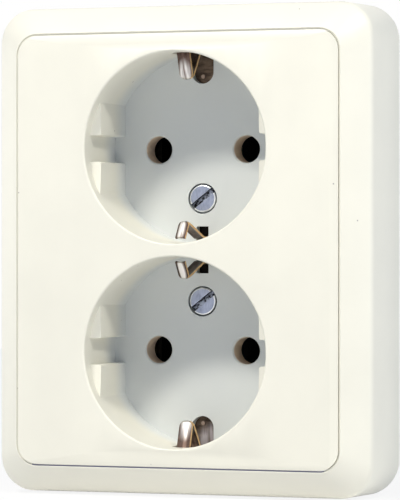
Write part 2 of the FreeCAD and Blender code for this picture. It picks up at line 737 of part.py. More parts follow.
def contact_spaces(body, name, end):
    """Where the two earth contacts of a well stand: a channel and an arch outside, a slot inside."""
    half = "(channel_width / 2)"
    back = f"{end} * ({WELL} + well_radius + channel_setout)"
    arch = f"{end} * ({WELL} + well_radius - arch_reach + {half})"
    pocket(
        body, f"{name}_arch", FLOOR_REAR, FLOOR,
        outline([(half, back), (f"-{half}", back), (f"-{half}", arch), (half, arch)], {2: (HALF_ROUND, end)}),
    )
    pocket(
        body, f"{name}_channel", FLOOR, "rim_height - channel_depth",
        slab(f"-{half}", half, f"{end} * ({WELL} + well_radius - well_wall)", back),
    )
    slot = "(inner_slot_width / 2)"
    pocket(
        body, f"{name}_slot", FLOOR_REAR, FLOOR,
        slab(
            f"-{slot}", slot,
            f"{end} * ({WELL} - well_radius + inner_slot_reach)",
            f"{end} * ({WELL} - well_radius)",
        ),
    )
    recess = "(recess_width / 2)"
    pocket(
        body, f"{name}_recess", FLOOR, "rim_height - recess_depth",
        slab(
            f"-{recess}", recess,
            f"{end} * ({WELL} - well_radius + well_wall)",
            f"{end} * ({WELL} - well_radius - recess_setout)",
        ),
    )


def chamfer_pin_holes(body):
    radius = value("pin_hole_radius")
    level = -value(FLOOR)

    def on_mouth(edge):
        box = edge.BoundBox
        flat = abs(box.YMin - level) < 0.01 and abs(box.YMax - level) < 0.01
        return flat and hasattr(edge.Curve, "Radius") and abs(edge.Curve.Radius - radius) < 0.001

    dress(body, "pin_chamfer_edges", "PartDesign::Chamfer", on_mouth, "pin_chamfer")


# Cover screws and the threaded bushes that they turn in

def make_cover_screw(label, end):
    body = make_body(label)
    seat = f"{FLOOR} - screw_head_height"
    pad(body, "head", seat, FLOOR, disc("0", "0", "screw_head_radius"))
    pad(body, "shank", f"{seat} - screw_length", seat, disc("0", "0", "screw_radius"))
    length = "2 * screw_head_radius + slot_width"
    pocket(body, "slot", f"{FLOOR} - slot_depth", FLOOR, turned_slab(length, "slot_width", "slot_angle"))
    place(body, z=f"{end} * {SCREW}")
    return body


def make_screw_bush(label, end):
    front = f"{FLOOR_REAR} - boss_length"
    sleeve = rod(f"{label}_sleeve", "0", f"{end} * {SCREW}", "bush_radius", f"{front} - bush_length", front)
    bore = rod(
        f"{label}_bore", "0", f"{end} * {SCREW}", "screw_radius + thread_clearance",
        f"{front} - bush_length", front,
    )
    bush = document.addObject("Part::Cut", label)
    bush.Base = sleeve
    bush.Tool = bore
    bush.Label = label
    return bush


# Earth bar: a flat strip under both wells, with a tongue into the earth terminal

def make_earth_bar():
    body = make_body("earth_bar")
    half = "(bar_width / 2)"
    pad(body, "strip", BAR_REAR, FLOOR_REAR, slab(f"-{half}", half, f"-{BAR_END}", BAR_END))
    ends = (1, -1)
    pad(body, "eyes", BAR_REAR, FLOOR_REAR, *[disc("0", f"{end} * {SCREW}", "bar_eye_radius") for end in ends])
    pip = f"({WELL} + well_radius - bar_pip_setback)"
    pips = [disc("-bar_pip_offset", f"{end} * {pip}", "bar_pip_radius") for end in ends]
    pad(body, "pips", FLOOR_REAR, f"{FLOOR_REAR} + bar_pip_height", *pips)
    tongue = "(earth_tongue_width / 2)"
    tongue_rear = f"-({CLAMP_MIDDLE} + clamp_depth / 2)"
    pad(
        body, "tongue", tongue_rear, BAR_REAR,
        slab(f"-{tongue}", tongue, f"-({EARTH_TONGUE} + bar_thickness)", f"-{EARTH_TONGUE}"),
    )
    boss_holes = [disc("0", f"{end} * {SCREW}", "boss_radius + boss_clearance") for end in ends]
    pocket(body, "boss_holes", BAR_REAR, FLOOR_REAR, *boss_holes)
    rivet_holes = [disc("0", f"{end} * {BAR_RIVET}", "bar_rivet_radius") for end in ends]
    pocket(body, "rivet_holes", BAR_REAR, FLOOR_REAR, *rivet_holes)
    pocket(body, "contact_slots", BAR_REAR, FLOOR_REAR, *tail_slots("slot_clearance"))
    return body


def tail_slots(clearance):
    """The four places where the tails of the earth contacts go in."""
    half = f"(tail_width / 2 + {clearance})"
    slots = []
    for end in (1, -1):
        for middle, thickness in (
            (f"({WELL} + {CONTACT_FOOT})", "contact_thickness"),
            (f"({WELL} - {INNER_FOOT})", "inner_thickness"),
        ):
            low = f"{end} * ({middle} - {thickness} / 2 - {clearance})"
            high = f"{end} * ({middle} + {thickness} / 2 + {clearance})"
            slots.append(slab(f"-{half}", half, low, high))
    return slots


def make_bar_rivets():
    rivets = []
    for end, name in ((1, "upper"), (-1, "lower")):
        z = f"{end} * {BAR_RIVET}"
        rivets.append(rod(f"{name}_bar_rivet", "0", z, "bar_rivet_radius", "strap_thickness", FLOOR_REAR))
    return gathered("earth_bar_rivets", rivets)


# Earth contacts: spring strips bent to a tip, each held by its tail in the earth bar

def bent_path(sketch, points, radii):
    """An open line through the points, with a tangent arc of its own radius at each inner one."""
    places = [FreeCAD.Vector(value(x), value(z), 0) for x, z in points]
    cuts = [places[0]]
    arcs = []
    for before, here, after, radius in zip(places, places[1:], places[2:], radii):
        bend = value(radius)
        back = (before - here).normalize()
        ahead = (after - here).normalize()
        turn = math.pi - back.getAngle(ahead)
        length = bend * math.tan(turn / 2)
        start = here + back * length
        end = here + ahead * length
        sign = 1 if back.cross(ahead).z < 0 else -1
        arcs.append((arc_between(start, end, bend, sign), sign))
        cuts += [start, end]
    cuts.append(places[-1])
    lines = []
    for start, end in zip(cuts[0::2], cuts[1::2]):
        lines.append(sketch.addGeometry(Part.LineSegment(start, end), False))
    for number, ((arc, sign), radius) in enumerate(zip(arcs, radii)):
        edge = sketch.addGeometry(arc, False)
        first, last = (1, 2) if sign > 0 else (2, 1)
        sketch.addConstraint(Sketcher.Constraint("Tangent", lines[number], 2, edge, first))
        sketch.addConstraint(Sketcher.Constraint("Tangent", edge, last, lines[number + 1], 1))
        fix_radius(sketch, edge, radius)
    for number, (x, z) in enumerate(points[1:-1], start=1):
        corner = sketch.addGeometry(Part.Point(places[number]), True)
        sketch.addConstraint(Sketcher.Constraint("PointOnObject", corner, 1, lines[number - 1]))
        sketch.addConstraint(Sketcher.Constraint("PointOnObject", corner, 1, lines[number]))
        fix_point(sketch, corner, 1, x, z)
    fix_point(sketch, lines[0], 1, *points[0])
    fix_point(sketch, lines[-1], 2, *points[-1])


def tip_corner(side, width, tip, radius):
    """What the rounding takes off one corner of a contact's tip, seen from the front."""
    half = f"({width} / 2)"
    corners = [
        (f"({half} - {radius})", tip),
        (half, f"({tip} + {radius})"),
        (f"({half} + {radius})", f"({tip} + {radius})"),
        (f"({half} + {radius})", f"({tip} - {radius})"),
        (f"({half} - {radius})", f"({tip} - {radius})"),
    ]
    return outline([(f"{side} * {x}", z) for x, z in corners], {0: (radius, side)})


def tip_face(points, thickness, crown):
    """The face of a contact's fold that stands nearest to the well's centre."""
    (rear_y, rear_z), (corner_y, corner_z), (end_y, end_z) = points[1:]
    rear = f"atan((({rear_y}) - ({corner_y})) / (({rear_z}) - ({corner_z})))"
    front = f"atan((({corner_y}) - ({end_y})) / (({end_z}) - ({corner_z})))"
    middle = f"tip_bend_radius * cos(({rear} - {front}) / 2) / sin(({rear} + {front}) / 2)"
    return f"({corner_z} + {middle} - tip_bend_radius - {thickness} / 2 - {crown} / 2)"


def make_contact(label, points, width, thickness, crown, tip_round):
    """A strip with a crowned section along a bent path, with its root narrowed to a tail."""
    body = make_body(label)
    foot = points[0][1]
    tip = tip_face(points, thickness, crown)
    tail_end = f"({FLOOR_REAR} - contact_tail)"
    across = f"({width} / 2)"
    radius = f"(({across} * {across} + {crown} * {crown}) / (2 * {crown}))"
    inner = f"({foot} - {thickness} / 2 + {crown} / 2)"
    outer = f"({foot} + {thickness} / 2 + {crown} / 2)"
    root = outline(
        [(f"-{across}", inner), (across, inner), (across, outer), (f"-{across}", outer)],
        {0: (radius, 1), 2: (radius, -1)},
    )
    profile = sketch_on(body, "strip_section", "XZ_Plane", tail_end, [root])

    def draw_path(sketch):
        bent_path(sketch, points, ["bend_radius", "tip_bend_radius"])

    path = sketch_on(body, "strip_path", "YZ_Plane", "0", [draw_path])
    pipe = body.newObject("PartDesign::AdditivePipe", "strip")
    pipe.Profile = profile
    count = len(points) * 2 - 3
    pipe.Spine = (path, [f"Edge{number}" for number in range(1, count + 1)])
    shoulder = f"{FLOOR_REAR} + contact_shoulder_gap"
    low = f"{foot} - 2 * {thickness}"
    high = f"{foot} + 2 * {thickness}"
    pocket(
        body, "tail", f"{tail_end} - {thickness}", shoulder,
        slab("tail_width / 2", width, low, high),
        slab(f"-{width}", "-tail_width / 2", low, high),
    )
    pocket(
        body, "tip_corners", FLOOR, "rim_height",
        tip_corner(1, width, tip, tip_round),
        tip_corner(-1, width, tip, tip_round),
    )
    return body


def make_outer_contact(label, end):
    points = [
        (f"-({FLOOR_REAR} - contact_tail)", CONTACT_FOOT),
        ("-(rim_height - contact_bend_depth)", CONTACT_FOOT),
        ("-(rim_height - contact_tip_depth)", "(well_radius - contact_reach)"),
        ("-(rim_height - contact_end_depth)", "(well_radius + contact_end_setout)"),
    ]
    body = make_contact(
        label, points, "contact_width", "contact_thickness", "contact_crown", "contact_tip_round",
    )
    place(body, z=f"{end} * {WELL}", turned=end < 0)
    return body


def make_inner_contact(label, end):
    points = [
        (f"-({FLOOR_REAR} - contact_tail)", INNER_FOOT),
        ("-(rim_height - inner_bend_depth)", INNER_FOOT),
        ("-(rim_height - inner_tip_depth)", "(well_radius - inner_reach)"),
        ("-(rim_height - inner_end_depth)", "(well_radius - inner_end_setback)"),
    ]
    body = make_contact(label, points, "inner_width", "inner_thickness", "inner_crown", "inner_tip_round")
    place(body, z=f"{end} * {WELL}", turned=end > 0)
    return body


# Busbars, pin clips and terminals

def make_busbar(label, side):
    body = make_body(label)
    inner = CLIP_WEB
    outer = f"({CLIP_WEB} + busbar_thickness)"
    rear = "-(busbar_front + busbar_depth)"
    low, high = (inner, outer) if side > 0 else (f"-{outer}", f"-{inner}")
    pad(body, "strip", rear, "-busbar_front", slab(low, high, f"-{BUSBAR_TOP}", BUSBAR_TOP))
    tongue = "(earth_tongue_width / 2)"
    arm_rear = "(busbar_front + arm_width)"
    tongue_rear = f"({CLAMP_MIDDLE} + clamp_depth / 2)"
    corners = [
        (outer, "busbar_front"),
        (f"({CLAMP_X} + {tongue})", "busbar_front"),
        (f"({CLAMP_X} + {tongue})", tongue_rear),
        (f"({CLAMP_X} - {tongue})", tongue_rear),
        (f"({CLAMP_X} - {tongue})", arm_rear),
        (outer, arm_rear),
    ]
    placed = [(f"{side} * {x}", y) for x, y in corners]
    level = f"({CLAMP_Z} + clamp_wall + tongue_lift)"
    pad_up(body, "arm", level, f"{level} + busbar_thickness", outline(placed))
    return body


def make_pin_clip(label, side, end):
    body = make_body(label)
    half = "clip_half_width"
    front = "clip_front"
    throat = "(clip_front + clip_mouth_length)"
    rear = "(clip_front + clip_length)"
    leaves = []
    for sign in (1, -1):
        profile = [
            (front, "clip_mouth / 2"),
            (throat, "clip_gap / 2"),
            (rear, "clip_gap / 2"),
            (rear, "(clip_gap / 2 + clip_thickness)"),
            (throat, "(clip_gap / 2 + clip_thickness)"),
            (front, "(clip_mouth / 2 + clip_thickness)"),
        ]
        leaves.append(outline([(y, f"{sign} * {z}") for y, z in profile]))
    web_half = "(clip_gap / 2 + clip_thickness)"
    pad(
        body, "web", f"-{rear}", f"-{throat}",
        slab(half, "(clip_half_width + clip_thickness)", f"-{web_half}", web_half),
    )
    pad_across(body, "leaves", f"-{half}", half, *leaves)
    place(body, x=f"{side} * pin_spacing / 2", z=f"{end} * {WELL}", turned=side < 0)
    return body


def make_terminal_clamp(label, x, z, turned):
    """A square clamp round a tongue, with the thread for its screw in the outer wall."""
    body = make_body(label)
    half = "(clamp_width / 2)"
    front = f"-({CLAMP_MIDDLE} - clamp_depth / 2)"
    rear = f"-({CLAMP_MIDDLE} + clamp_depth / 2)"
    pad(
        body, "frame", rear, front,
        slab(f"-{half}", half, "0", "clamp_height"),
        slab(
            f"-({half} - clamp_wall)", f"({half} - clamp_wall)",
            "clamp_wall", "(clamp_height - clamp_wall)",
        ),
    )
    pocket_up(
        body, "thread", "clamp_height - clamp_wall", "clamp_height",
        disc("0", CLAMP_MIDDLE, "terminal_screw_radius + thread_clearance"),
    )
    place(body, x=x, z=z, turned=turned)
    return body


def make_terminal_screw(label, x, z, turned):
    body = make_body(label)
    tip = "(clamp_wall + tongue_lift + bar_thickness + terminal_screw_gap)"
    seat = "(clamp_height + terminal_screw_neck)"
    top = f"({seat} + terminal_screw_head_height)"
    pad_up(body, "shank", tip, seat, disc("0", CLAMP_MIDDLE, "terminal_screw_radius"))
    pad_up(body, "head", seat, top, disc("0", CLAMP_MIDDLE, "terminal_screw_head"))
    half = "(terminal_slot_width / 2)"
    reach = "2 * terminal_screw_head"
    pocket_up(
        body, "slot", f"{top} - terminal_slot_depth", top,
        slab(f"-{reach}", reach, f"{CLAMP_MIDDLE} - {half}", f"{CLAMP_MIDDLE} + {half}"),
    )
    place(body, x=x, z=z, turned=turned)
    return body


TERMINALS = {
    "left": (f"-{CLAMP_X}", CLAMP_Z, False),
    "right": (CLAMP_X, CLAMP_Z, False),
    "earth": ("0", f"-{EARTH_CLAMP}", True),
}


# Contact base: the insulating body, with chambers open to the rear

def make_contact_base():
    body = make_body("contact_base")
    body_outline = bayed_disc("base_radius", BAY_PLACE, BAY_WIDTH)
    pad(body, "block", "-base_depth", "strap_thickness", body_outline)
    flange_height = f"2 * ({BAR_END} + flange_margin)"
    pad(
        body, "flange", "strap_thickness", BAR_REAR,
        rounded(FLANGE_WIDTH, flange_height, "flange_corner"),
    )
    bay = f"({BAY_WIDTH} / 2)"
    pocket(
        body, "flange_bays", "strap_thickness", BAR_REAR,
        slab(BAY_PLACE, FLANGE_WIDTH, f"-{bay}", bay),
        slab(f"-{FLANGE_WIDTH}", f"-{BAY_PLACE}", f"-{bay}", bay),
    )
    base_chambers(body)
    base_holes(body)
    return body


def base_chambers(body):
    rear = "-base_depth"
    front = "-base_front_wall"
    gap = "chamber_clearance"
    clips = []
    strips = []
    half = f"(clip_mouth / 2 + clip_thickness + {gap})"
    top = f"({BUSBAR_TOP} + {gap})"
    for side in (1, -1):
        inner = f"(pin_spacing / 2 - clip_half_width - {gap})"
        outer = f"({CLIP_WEB} + {gap} / 2)"
        for end in (1, -1):
            middle = f"{end} * {WELL}"
            clips.append(slab(f"{side} * {inner}", f"{side} * {outer}", f"{middle} - {half}", f"{middle} + {half}"))
        near = f"{side} * ({CLIP_WEB} - {gap})"
        far = f"{side} * ({CLIP_WEB} + busbar_thickness + {gap})"
        strips.append(slab(near, far, f"-{top}", top))
    pocket(body, "clip_chambers", rear, front, *clips)
    pocket(body, "busbar_chambers", rear, front, *strips)
    clamps = []
    width = f"(clamp_width / 2 + {gap})"
    for side in (1, -1):
        inner = f"{side} * ({CLIP_WEB} + busbar_thickness)"
        outer = f"{side} * ({CLAMP_X} + {width})"
        clamps.append(slab(
            inner, outer,
            f"({CLAMP_Z} - {gap})", f"({CLAMP_Z} + clamp_height + {gap})",
        ))
    clamps.append(slab(
        f"-{width}", width,
        f"-({EARTH_CLAMP} + clamp_height + {gap})", f"-({EARTH_CLAMP} - {gap})",
    ))
    pocket(body, "clamp_chambers", rear, front, *clamps)
    lid = lid_outline("lid_margin")
    pocket(body, "lid_seat", rear, "-(base_depth - lid_thickness)", lid)


def lid_outline(inset):
    return bayed_disc(
        f"(base_radius - {inset})",
        f"({BAY_PLACE} - {inset})",
        f"({BAY_WIDTH} + 2 * {inset})",
    )


def base_holes(body):
    recess = f"{FLOOR_REAR} - boss_length"
    pins = []
    for side in (1, -1):
        for end in (1, -1):
            pins.append(disc(
                f"{side} * pin_spacing / 2", f"{end} * {WELL}",
                "pin_hole_radius + collar_wall + collar_clearance",
            ))
    pocket(body, "collar_holes", "-base_front_wall", BAR_REAR, *pins)
    ends = (1, -1)
    bosses = [disc("0", f"{end} * {SCREW}", "boss_radius + boss_clearance") for end in ends]
    pocket(body, "boss_recesses", recess, BAR_REAR, *bosses)
    bushes = [disc("0", f"{end} * {SCREW}", "bush_radius") for end in ends]
    pocket(body, "bush_holes", f"{recess} - bush_length", recess, *bushes)
    screws = [disc("0", f"{end} * {SCREW}", "screw_radius + chamber_clearance") for end in ends]
    screw_end = f"{FLOOR} - screw_head_height - screw_length - chamber_clearance"
    pocket(body, "screw_ends", screw_end, f"{recess} - bush_length", *screws)
    tail_end = f"{FLOOR_REAR} - contact_tail - contact_shoulder_gap"
    pocket(body, "tail_pockets", tail_end, BAR_REAR, *tail_slots("2 * slot_clearance"))
    rivets = [disc("0", f"{end} * {BAR_RIVET}", "bar_rivet_radius") for end in ends]
    pocket(body, "bar_rivet_holes", "strap_thickness", BAR_REAR, *rivets)
    tongue = "(earth_tongue_width / 2 + slot_clearance)"
    pocket(
        body, "tongue_slot", "-base_front_wall", BAR_REAR,
        slab(
            f"-{tongue}", tongue,
            f"-({EARTH_TONGUE} + bar_thickness + slot_clearance)",
            f"-({EARTH_TONGUE} - slot_clearance)",
        ),
    )
    corners = [disc(x, z, "strap_rivet_radius") for x, z in strap_rivet_places()]
    pocket(body, "strap_rivet_holes", "strap_thickness", BAR_REAR, *corners)
    access = "terminal_screw_head + chamber_clearance"
    top = f"({CLAMP_Z} + clamp_height)"
    for side, name in ((1, "right"), (-1, "left")):
        pocket_up(
            body, f"{name}_screw_access", top, "base_radius",
            disc(f"{side} * {CLAMP_X}", CLAMP_MIDDLE, access),
        )
    bottom = f"-({EARTH_CLAMP} + clamp_height)"
    pocket_up(body, "earth_screw_access", "-base_radius - base_depth", bottom, disc("0", CLAMP_MIDDLE, access))


def make_rear_cover():
    body = make_body("rear_cover")
    front = "-(base_depth - lid_thickness)"
    pad(body, "disc", "-base_depth", front, lid_outline("(lid_margin + lid_clearance)"))
    wire = "(clamp_wall + tongue_lift + busbar_thickness + terminal_screw_gap / 2)"
    pocket(
        body, "wire_entries", "-base_depth", front,
        disc(CLAMP_X, f"{CLAMP_Z} + {wire}", "wire_radius"),
        disc(f"-{CLAMP_X}", f"{CLAMP_Z} + {wire}", "wire_radius"),
        disc("0", f"-({EARTH_CLAMP} + {wire})", "wire_radius"),
    )
    return body


# Mounting strap: a steel plate round the base, with ears bent back for the claws

def strap_rivet_places():
    places = []
    for side in (1, -1):
        for end in (1, -1):
            places.append((f"{side} * {STRAP_RIVET_X}", f"{end} * strap_rivet_z"))
    return places


def make_mounting_strap():
    body = make_body("mounting_strap")
    half = f"({STRAP_WIDTH} / 2)"
    short = f"({STRAP_WIDTH} / 2 - strap_corner_cut)"
    corners = [
        (short, f"-{half}"), (half, f"-{short}"), (half, short), (short, half),
        (f"-{short}", half), (f"-{half}", short), (f"-{half}", f"-{short}"), (f"-{short}", f"-{half}"),
    ]
    opening = bayed_disc(
        "(base_radius + strap_clearance)",
        f"({BAY_PLACE} + strap_clearance)",
        f"({BAY_WIDTH} - 2 * strap_clearance)",
    )
    pad(body, "plate", "0", "strap_thickness", outline(corners), opening)
    sides = (1, -1)
    fixings = [disc(f"{side} * fixing_spacing / 2", "0", "fixing_radius") for side in sides]
    pocket(body, "fixing_holes", "0", "strap_thickness", *fixings)
    threads = [disc(f"{side} * {CLAW_SCREW}", "0", "claw_screw_radius + thread_clearance") for side in sides]
    pocket(body, "claw_threads", "0", "strap_thickness", *threads)
    rivets = [disc(x, z, "strap_rivet_radius") for x, z in strap_rivet_places()]
    pocket(body, "rivet_holes", "0", "strap_thickness", *rivets)
    for sign, name in ((1, "upper"), (-1, "lower")):
        low, high = (EAR_INNER, EAR_OUTER) if sign > 0 else (f"-{EAR_OUTER}", f"-{EAR_INNER}")
        pad_up(body, f"{name}_ears", low, high, ear(1), ear(-1))
    pins = [disc(f"{side} * {CLAW_PIVOT}", "claw_pivot_y", "claw_pin_radius") for side in sides]
    pocket_up(body, "pin_holes", f"-{EAR_OUTER}", EAR_OUTER, *pins)
    return body


def ear(side):
    """A tab with a round end about the claw's pivot."""
    radius = "ear_half_length"
    near = f"{side} * ({CLAW_PIVOT} - {radius})"
    far = f"{side} * ({CLAW_PIVOT} + {radius})"
    return outline([(near, "0"), (far, "0"), (far, "claw_pivot_y"), (near, "claw_pivot_y")], {2: (HALF_ROUND, side)})


def make_strap_rivets():
    rivets = []
    for number, (x, z) in enumerate(strap_rivet_places(), start=1):
        shank = rod(f"strap_rivet_shank_{number}", x, z, "strap_rivet_radius", "0", BAR_REAR)
        head_front = f"{BAR_REAR} + strap_rivet_head_height"
        head = rod(f"strap_rivet_head_{number}", x, z, "strap_rivet_head", BAR_REAR, head_front)
        rivets.append(fused(f"strap_rivet_{number}", [shank, head]))
    return gathered("strap_rivets", rivets)


# Claws: levers that the claw screws press outwards into the wall of the box

def make_claw(label, side):
    body = make_body(label)
    x = CLAW_PIVOT
    y = "claw_pivot_y"
    half = "(claw_thickness / 2)"
    wide = "(claw_width / 2)"
    eye = disc(f"{side} * {x}", y, "claw_eye_radius")
    pad_up(body, "eye", f"-{wide}", wide, eye)
    inner = f"{side} * ({CLAW_SCREW} - claw_arm_past)"
    arm = slab(inner, f"{side} * {x}", f"{y} - {half}", f"{y} + {half}")
    pad_up(body, "arm", f"-{wide}", wide, arm)
    tooth_root = "(claw_reach - claw_tooth)"
    corners = [
        (f"({x} - {half})", y),
        (f"({x} + {half})", y),
        (f"({x} + {half})", f"({y} + {tooth_root})"),
        (f"({x} + {half} + claw_tooth)", f"({y} + claw_reach)"),
        (f"({x} - {half})", f"({y} + claw_reach)"),
    ]
    pad_up(body, "jaw", f"-{wide}", wide, outline([(f"{side} * {px}", py) for px, py in corners]))
    hole = disc(f"{side} * {x}", y, "claw_pin_radius + claw_pin_clearance")
    pocket_up(body, "pin_hole", f"-{wide}", wide, hole)
    start = "(claw_width / 6)"
    gaps = []
    for sign in (1, -1):
        root = f"({y} + {tooth_root})"
        tip = f"({y} + claw_reach + claw_tooth)"
        gaps.append(outline([
            (root, f"{sign} * {start}"),
            (tip, f"{sign} * ({start} - claw_tooth / 2)"),
            (tip, f"{sign} * ({start} + claw_tooth / 2)"),
        ]))
    low, high = ("0", STRAP_WIDTH) if side > 0 else (f"-{STRAP_WIDTH}", "0")
    pocket_across(body, "tooth_gaps", low, high, *gaps)
    return body


def make_claw_pin(label, side):
    body = make_body(label)
    centre = (f"{side} * {CLAW_PIVOT}", "claw_pivot_y")
    outer = f"({EAR_OUTER} + claw_pin_head_height)"
    pad_up(body, "shank", f"-{EAR_OUTER}", EAR_OUTER, disc(*centre, "claw_pin_radius"))
    pad_up(body, "upper_head", EAR_OUTER, outer, disc(*centre, "claw_pin_head"))
    pad_up(body, "lower_head", f"-{outer}", f"-{EAR_OUTER}", disc(*centre, "claw_pin_head"))
    return body


def make_claw_screw(label, side):
    body = make_body(label)
    seat = "(strap_thickness + claw_screw_lift)"
    front = f"({seat} + claw_screw_head_height)"
    tip = "-claw_screw_tip"
    pad(body, "shank", tip, seat, disc("0", "0", "claw_screw_radius"))
    pad(body, "head", seat, front, disc("0", "0", "claw_screw_head"))
    half = "(terminal_slot_width / 2)"
    reach = "2 * claw_screw_head"
    pocket(body, "slot", f"{front} - terminal_slot_depth", front, slab(f"-{half}", half, f"-{reach}", reach))

    def on_tip(edge):
        return abs(edge.BoundBox.YMin - value("claw_screw_tip")) < 0.001

    dress(body, "point", "PartDesign::Chamfer", on_tip, "claw_screw_point")
    place(body, x=f"{side} * {CLAW_SCREW}")
    return body


def build_all():
    pieces = [
        make_surround_frame(),
        make_socket_cover(),
        make_contact_base(),
        make_rear_cover(),
        make_mounting_strap(),
        make_strap_rivets(),
        make_earth_bar(),
        make_bar_rivets(),
    ]
    for end, name in ((1, "upper"), (-1, "lower")):
        pieces.append(make_cover_screw(f"{name}_cover_screw", end))
        pieces.append(make_screw_bush(f"{name}_screw_bush", end))
        pieces.append(make_outer_contact(f"{name}_outer_earth_contact", end))
        pieces.append(make_inner_contact(f"{name}_inner_earth_contact", end))
    for side, name in ((-1, "left"), (1, "right")):
        pieces.append(make_busbar(f"{name}_busbar", side))
        pieces.append(make_pin_clip(f"upper_{name}_pin_clip", side, 1))
        pieces.append(make_pin_clip(f"lower_{name}_pin_clip", side, -1))
        pieces.append(make_claw(f"{name}_claw", side))
        pieces.append(make_claw_pin(f"{name}_claw_pin", side))
        pieces.append(make_claw_screw(f"{name}_claw_screw", side))
    for name, (x, z, turned) in TERMINALS.items():
        pieces.append(make_terminal_clamp(f"{name}_terminal_clamp", x, z, turned))
        pieces.append(make_terminal_screw(f"{name}_terminal_screw", x, z, turned))
    return pieces


def check_and_export(pieces):
    document.recompute()
    for item in document.Objects:
        if "Invalid" in item.State or "Error" in item.State:
            raise RuntimeError(f"{item.Name} ({item.Label}) failed: {item.State}")
    for piece in pieces:
        if piece.Shape.isNull() or not piece.Shape.isValid():
            raise RuntimeError(f"{piece.Label} has no valid shape")
    os.makedirs("parts", exist_ok=True)
    for piece in pieces:
        piece.Shape.exportStep(f"parts/{piece.Label}.step")
        print(piece.Label, len(piece.Shape.Solids), round(piece.Shape.Volume, 2))


check_and_export(build_all())
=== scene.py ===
import math

import bmesh
import bpy
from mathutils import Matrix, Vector


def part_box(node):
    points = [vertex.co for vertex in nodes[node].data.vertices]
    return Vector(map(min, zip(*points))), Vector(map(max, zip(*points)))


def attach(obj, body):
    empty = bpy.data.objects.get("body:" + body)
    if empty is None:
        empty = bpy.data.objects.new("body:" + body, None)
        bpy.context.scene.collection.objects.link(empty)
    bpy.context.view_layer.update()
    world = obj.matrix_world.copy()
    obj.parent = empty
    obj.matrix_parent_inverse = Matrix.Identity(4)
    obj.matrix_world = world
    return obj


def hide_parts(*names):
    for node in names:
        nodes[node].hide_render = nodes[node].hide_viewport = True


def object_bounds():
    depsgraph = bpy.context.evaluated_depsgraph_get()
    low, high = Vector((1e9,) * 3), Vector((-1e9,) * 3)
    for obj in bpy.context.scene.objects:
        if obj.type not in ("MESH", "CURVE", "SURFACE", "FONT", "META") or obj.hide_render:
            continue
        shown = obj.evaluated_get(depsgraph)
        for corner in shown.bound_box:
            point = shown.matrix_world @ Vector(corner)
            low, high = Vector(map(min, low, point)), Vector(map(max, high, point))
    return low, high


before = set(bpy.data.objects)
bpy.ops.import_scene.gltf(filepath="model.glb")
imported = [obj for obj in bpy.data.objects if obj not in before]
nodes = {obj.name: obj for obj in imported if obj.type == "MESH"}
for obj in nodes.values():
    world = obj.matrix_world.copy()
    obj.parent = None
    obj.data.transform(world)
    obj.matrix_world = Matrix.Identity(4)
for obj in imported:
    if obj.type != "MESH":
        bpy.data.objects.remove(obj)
cad_low, cad_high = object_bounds()
for shown in bpy.context.selected_objects:
    shown.select_set(False)

MM = 0.001


# Camera
# The socket is seen from its right, level with its middle, through a long lens, so that
# its sides run almost parallel.
VIEW_YAW = math.radians(19.686)
VIEW_PITCH = math.radians(-0.134)
CAMERA_PLACE = Vector((0.2197, -0.6213, 0.0015))
LENS = 230.3
SENSOR_WIDTH = 36
CLIP = (0.05, 10)

camera_data = bpy.data.cameras.new("camera")
camera_data.lens = LENS
camera_data.sensor_width = SENSOR_WIDTH
camera_data.clip_start, camera_data.clip_end = CLIP
camera = bpy.data.objects.new("camera", camera_data)
bpy.context.scene.collection.objects.link(camera)
camera.location = CAMERA_PLACE
camera.rotation_euler = (math.radians(90) + VIEW_PITCH, 0, VIEW_YAW)
bpy.context.scene.camera = camera


# Light
# Two small softboxes stand above and in front of the socket, the stronger one on its left and
# the weaker one on its right, which lights the left walls of the wells. A broad weak lamp at
# the right helps it, and two boards level with the wall light the frame's sides.
LAMP_DISTANCE = 1.1
SOFTBOX = (0.22, 0.12)
BOARD = (0.6, 0.3)
SOFTBOX_WHITE = (1.0, 0.96, 0.86)
LAMPS = {
    "left_softbox": (math.radians(52), math.radians(104), SOFTBOX, 9.3, SOFTBOX_WHITE),
    "right_softbox": (math.radians(62), math.radians(50), SOFTBOX, 4.6, SOFTBOX_WHITE),
    "right_lamp": (math.radians(80), 0, BOARD, 2.0, (1.0, 0.97, 0.9)),
    "right_board": (math.radians(97), 0, BOARD, 2.5, (0.93, 0.99, 1.0)),
    "left_board": (math.radians(96), math.pi, BOARD, 2.4, (1.0, 0.97, 0.86)),
}


def add_lamp(name, from_front, turn, size, power, colour):
    """A lamp aimed at the socket, at an angle from its front and a turn from its right."""
    side = math.sin(from_front) * math.cos(turn)
    up = math.sin(from_front) * math.sin(turn)
    place = Vector((side, -math.cos(from_front), up)) * LAMP_DISTANCE
    data = bpy.data.lights.new(name, "AREA")
    data.shape = "RECTANGLE"
    data.size, data.size_y = size
    data.energy = power
    data.color = colour
    lamp = bpy.data.objects.new(name, data)
    bpy.context.scene.collection.objects.link(lamp)
    lamp.location = place
    lamp.rotation_euler = (-place).to_track_quat("-Z", "Y").to_euler()


for lamp_name, settings in LAMPS.items():
    add_lamp(lamp_name, *settings)


# Surroundings
# The room is plain white behind the socket, and it lights the socket only faintly, in the
# bluish tone of daylight that reaches the shaded parts of the wells.
ROOM_COLOUR = (0.22, 0.46, 1.0, 1)
ROOM_LIGHT = 0.2
WHITE = (1, 1, 1, 1)


def seen_share(tree):
    """One for rays from the camera, a mirror or a glass, and nothing for the rays that light."""
    ray = tree.nodes.new("ShaderNodeLightPath")
    share = ray.outputs["Is Camera Ray"]
    for kind in ("Is Glossy Ray", "Is Transmission Ray"):
        added = tree.nodes.new("ShaderNodeMath")
        added.operation = "MAXIMUM"
        tree.links.new(share, added.inputs[0])
        tree.links.new(ray.outputs[kind], added.inputs[1])
        share = added.outputs[0]
    return share


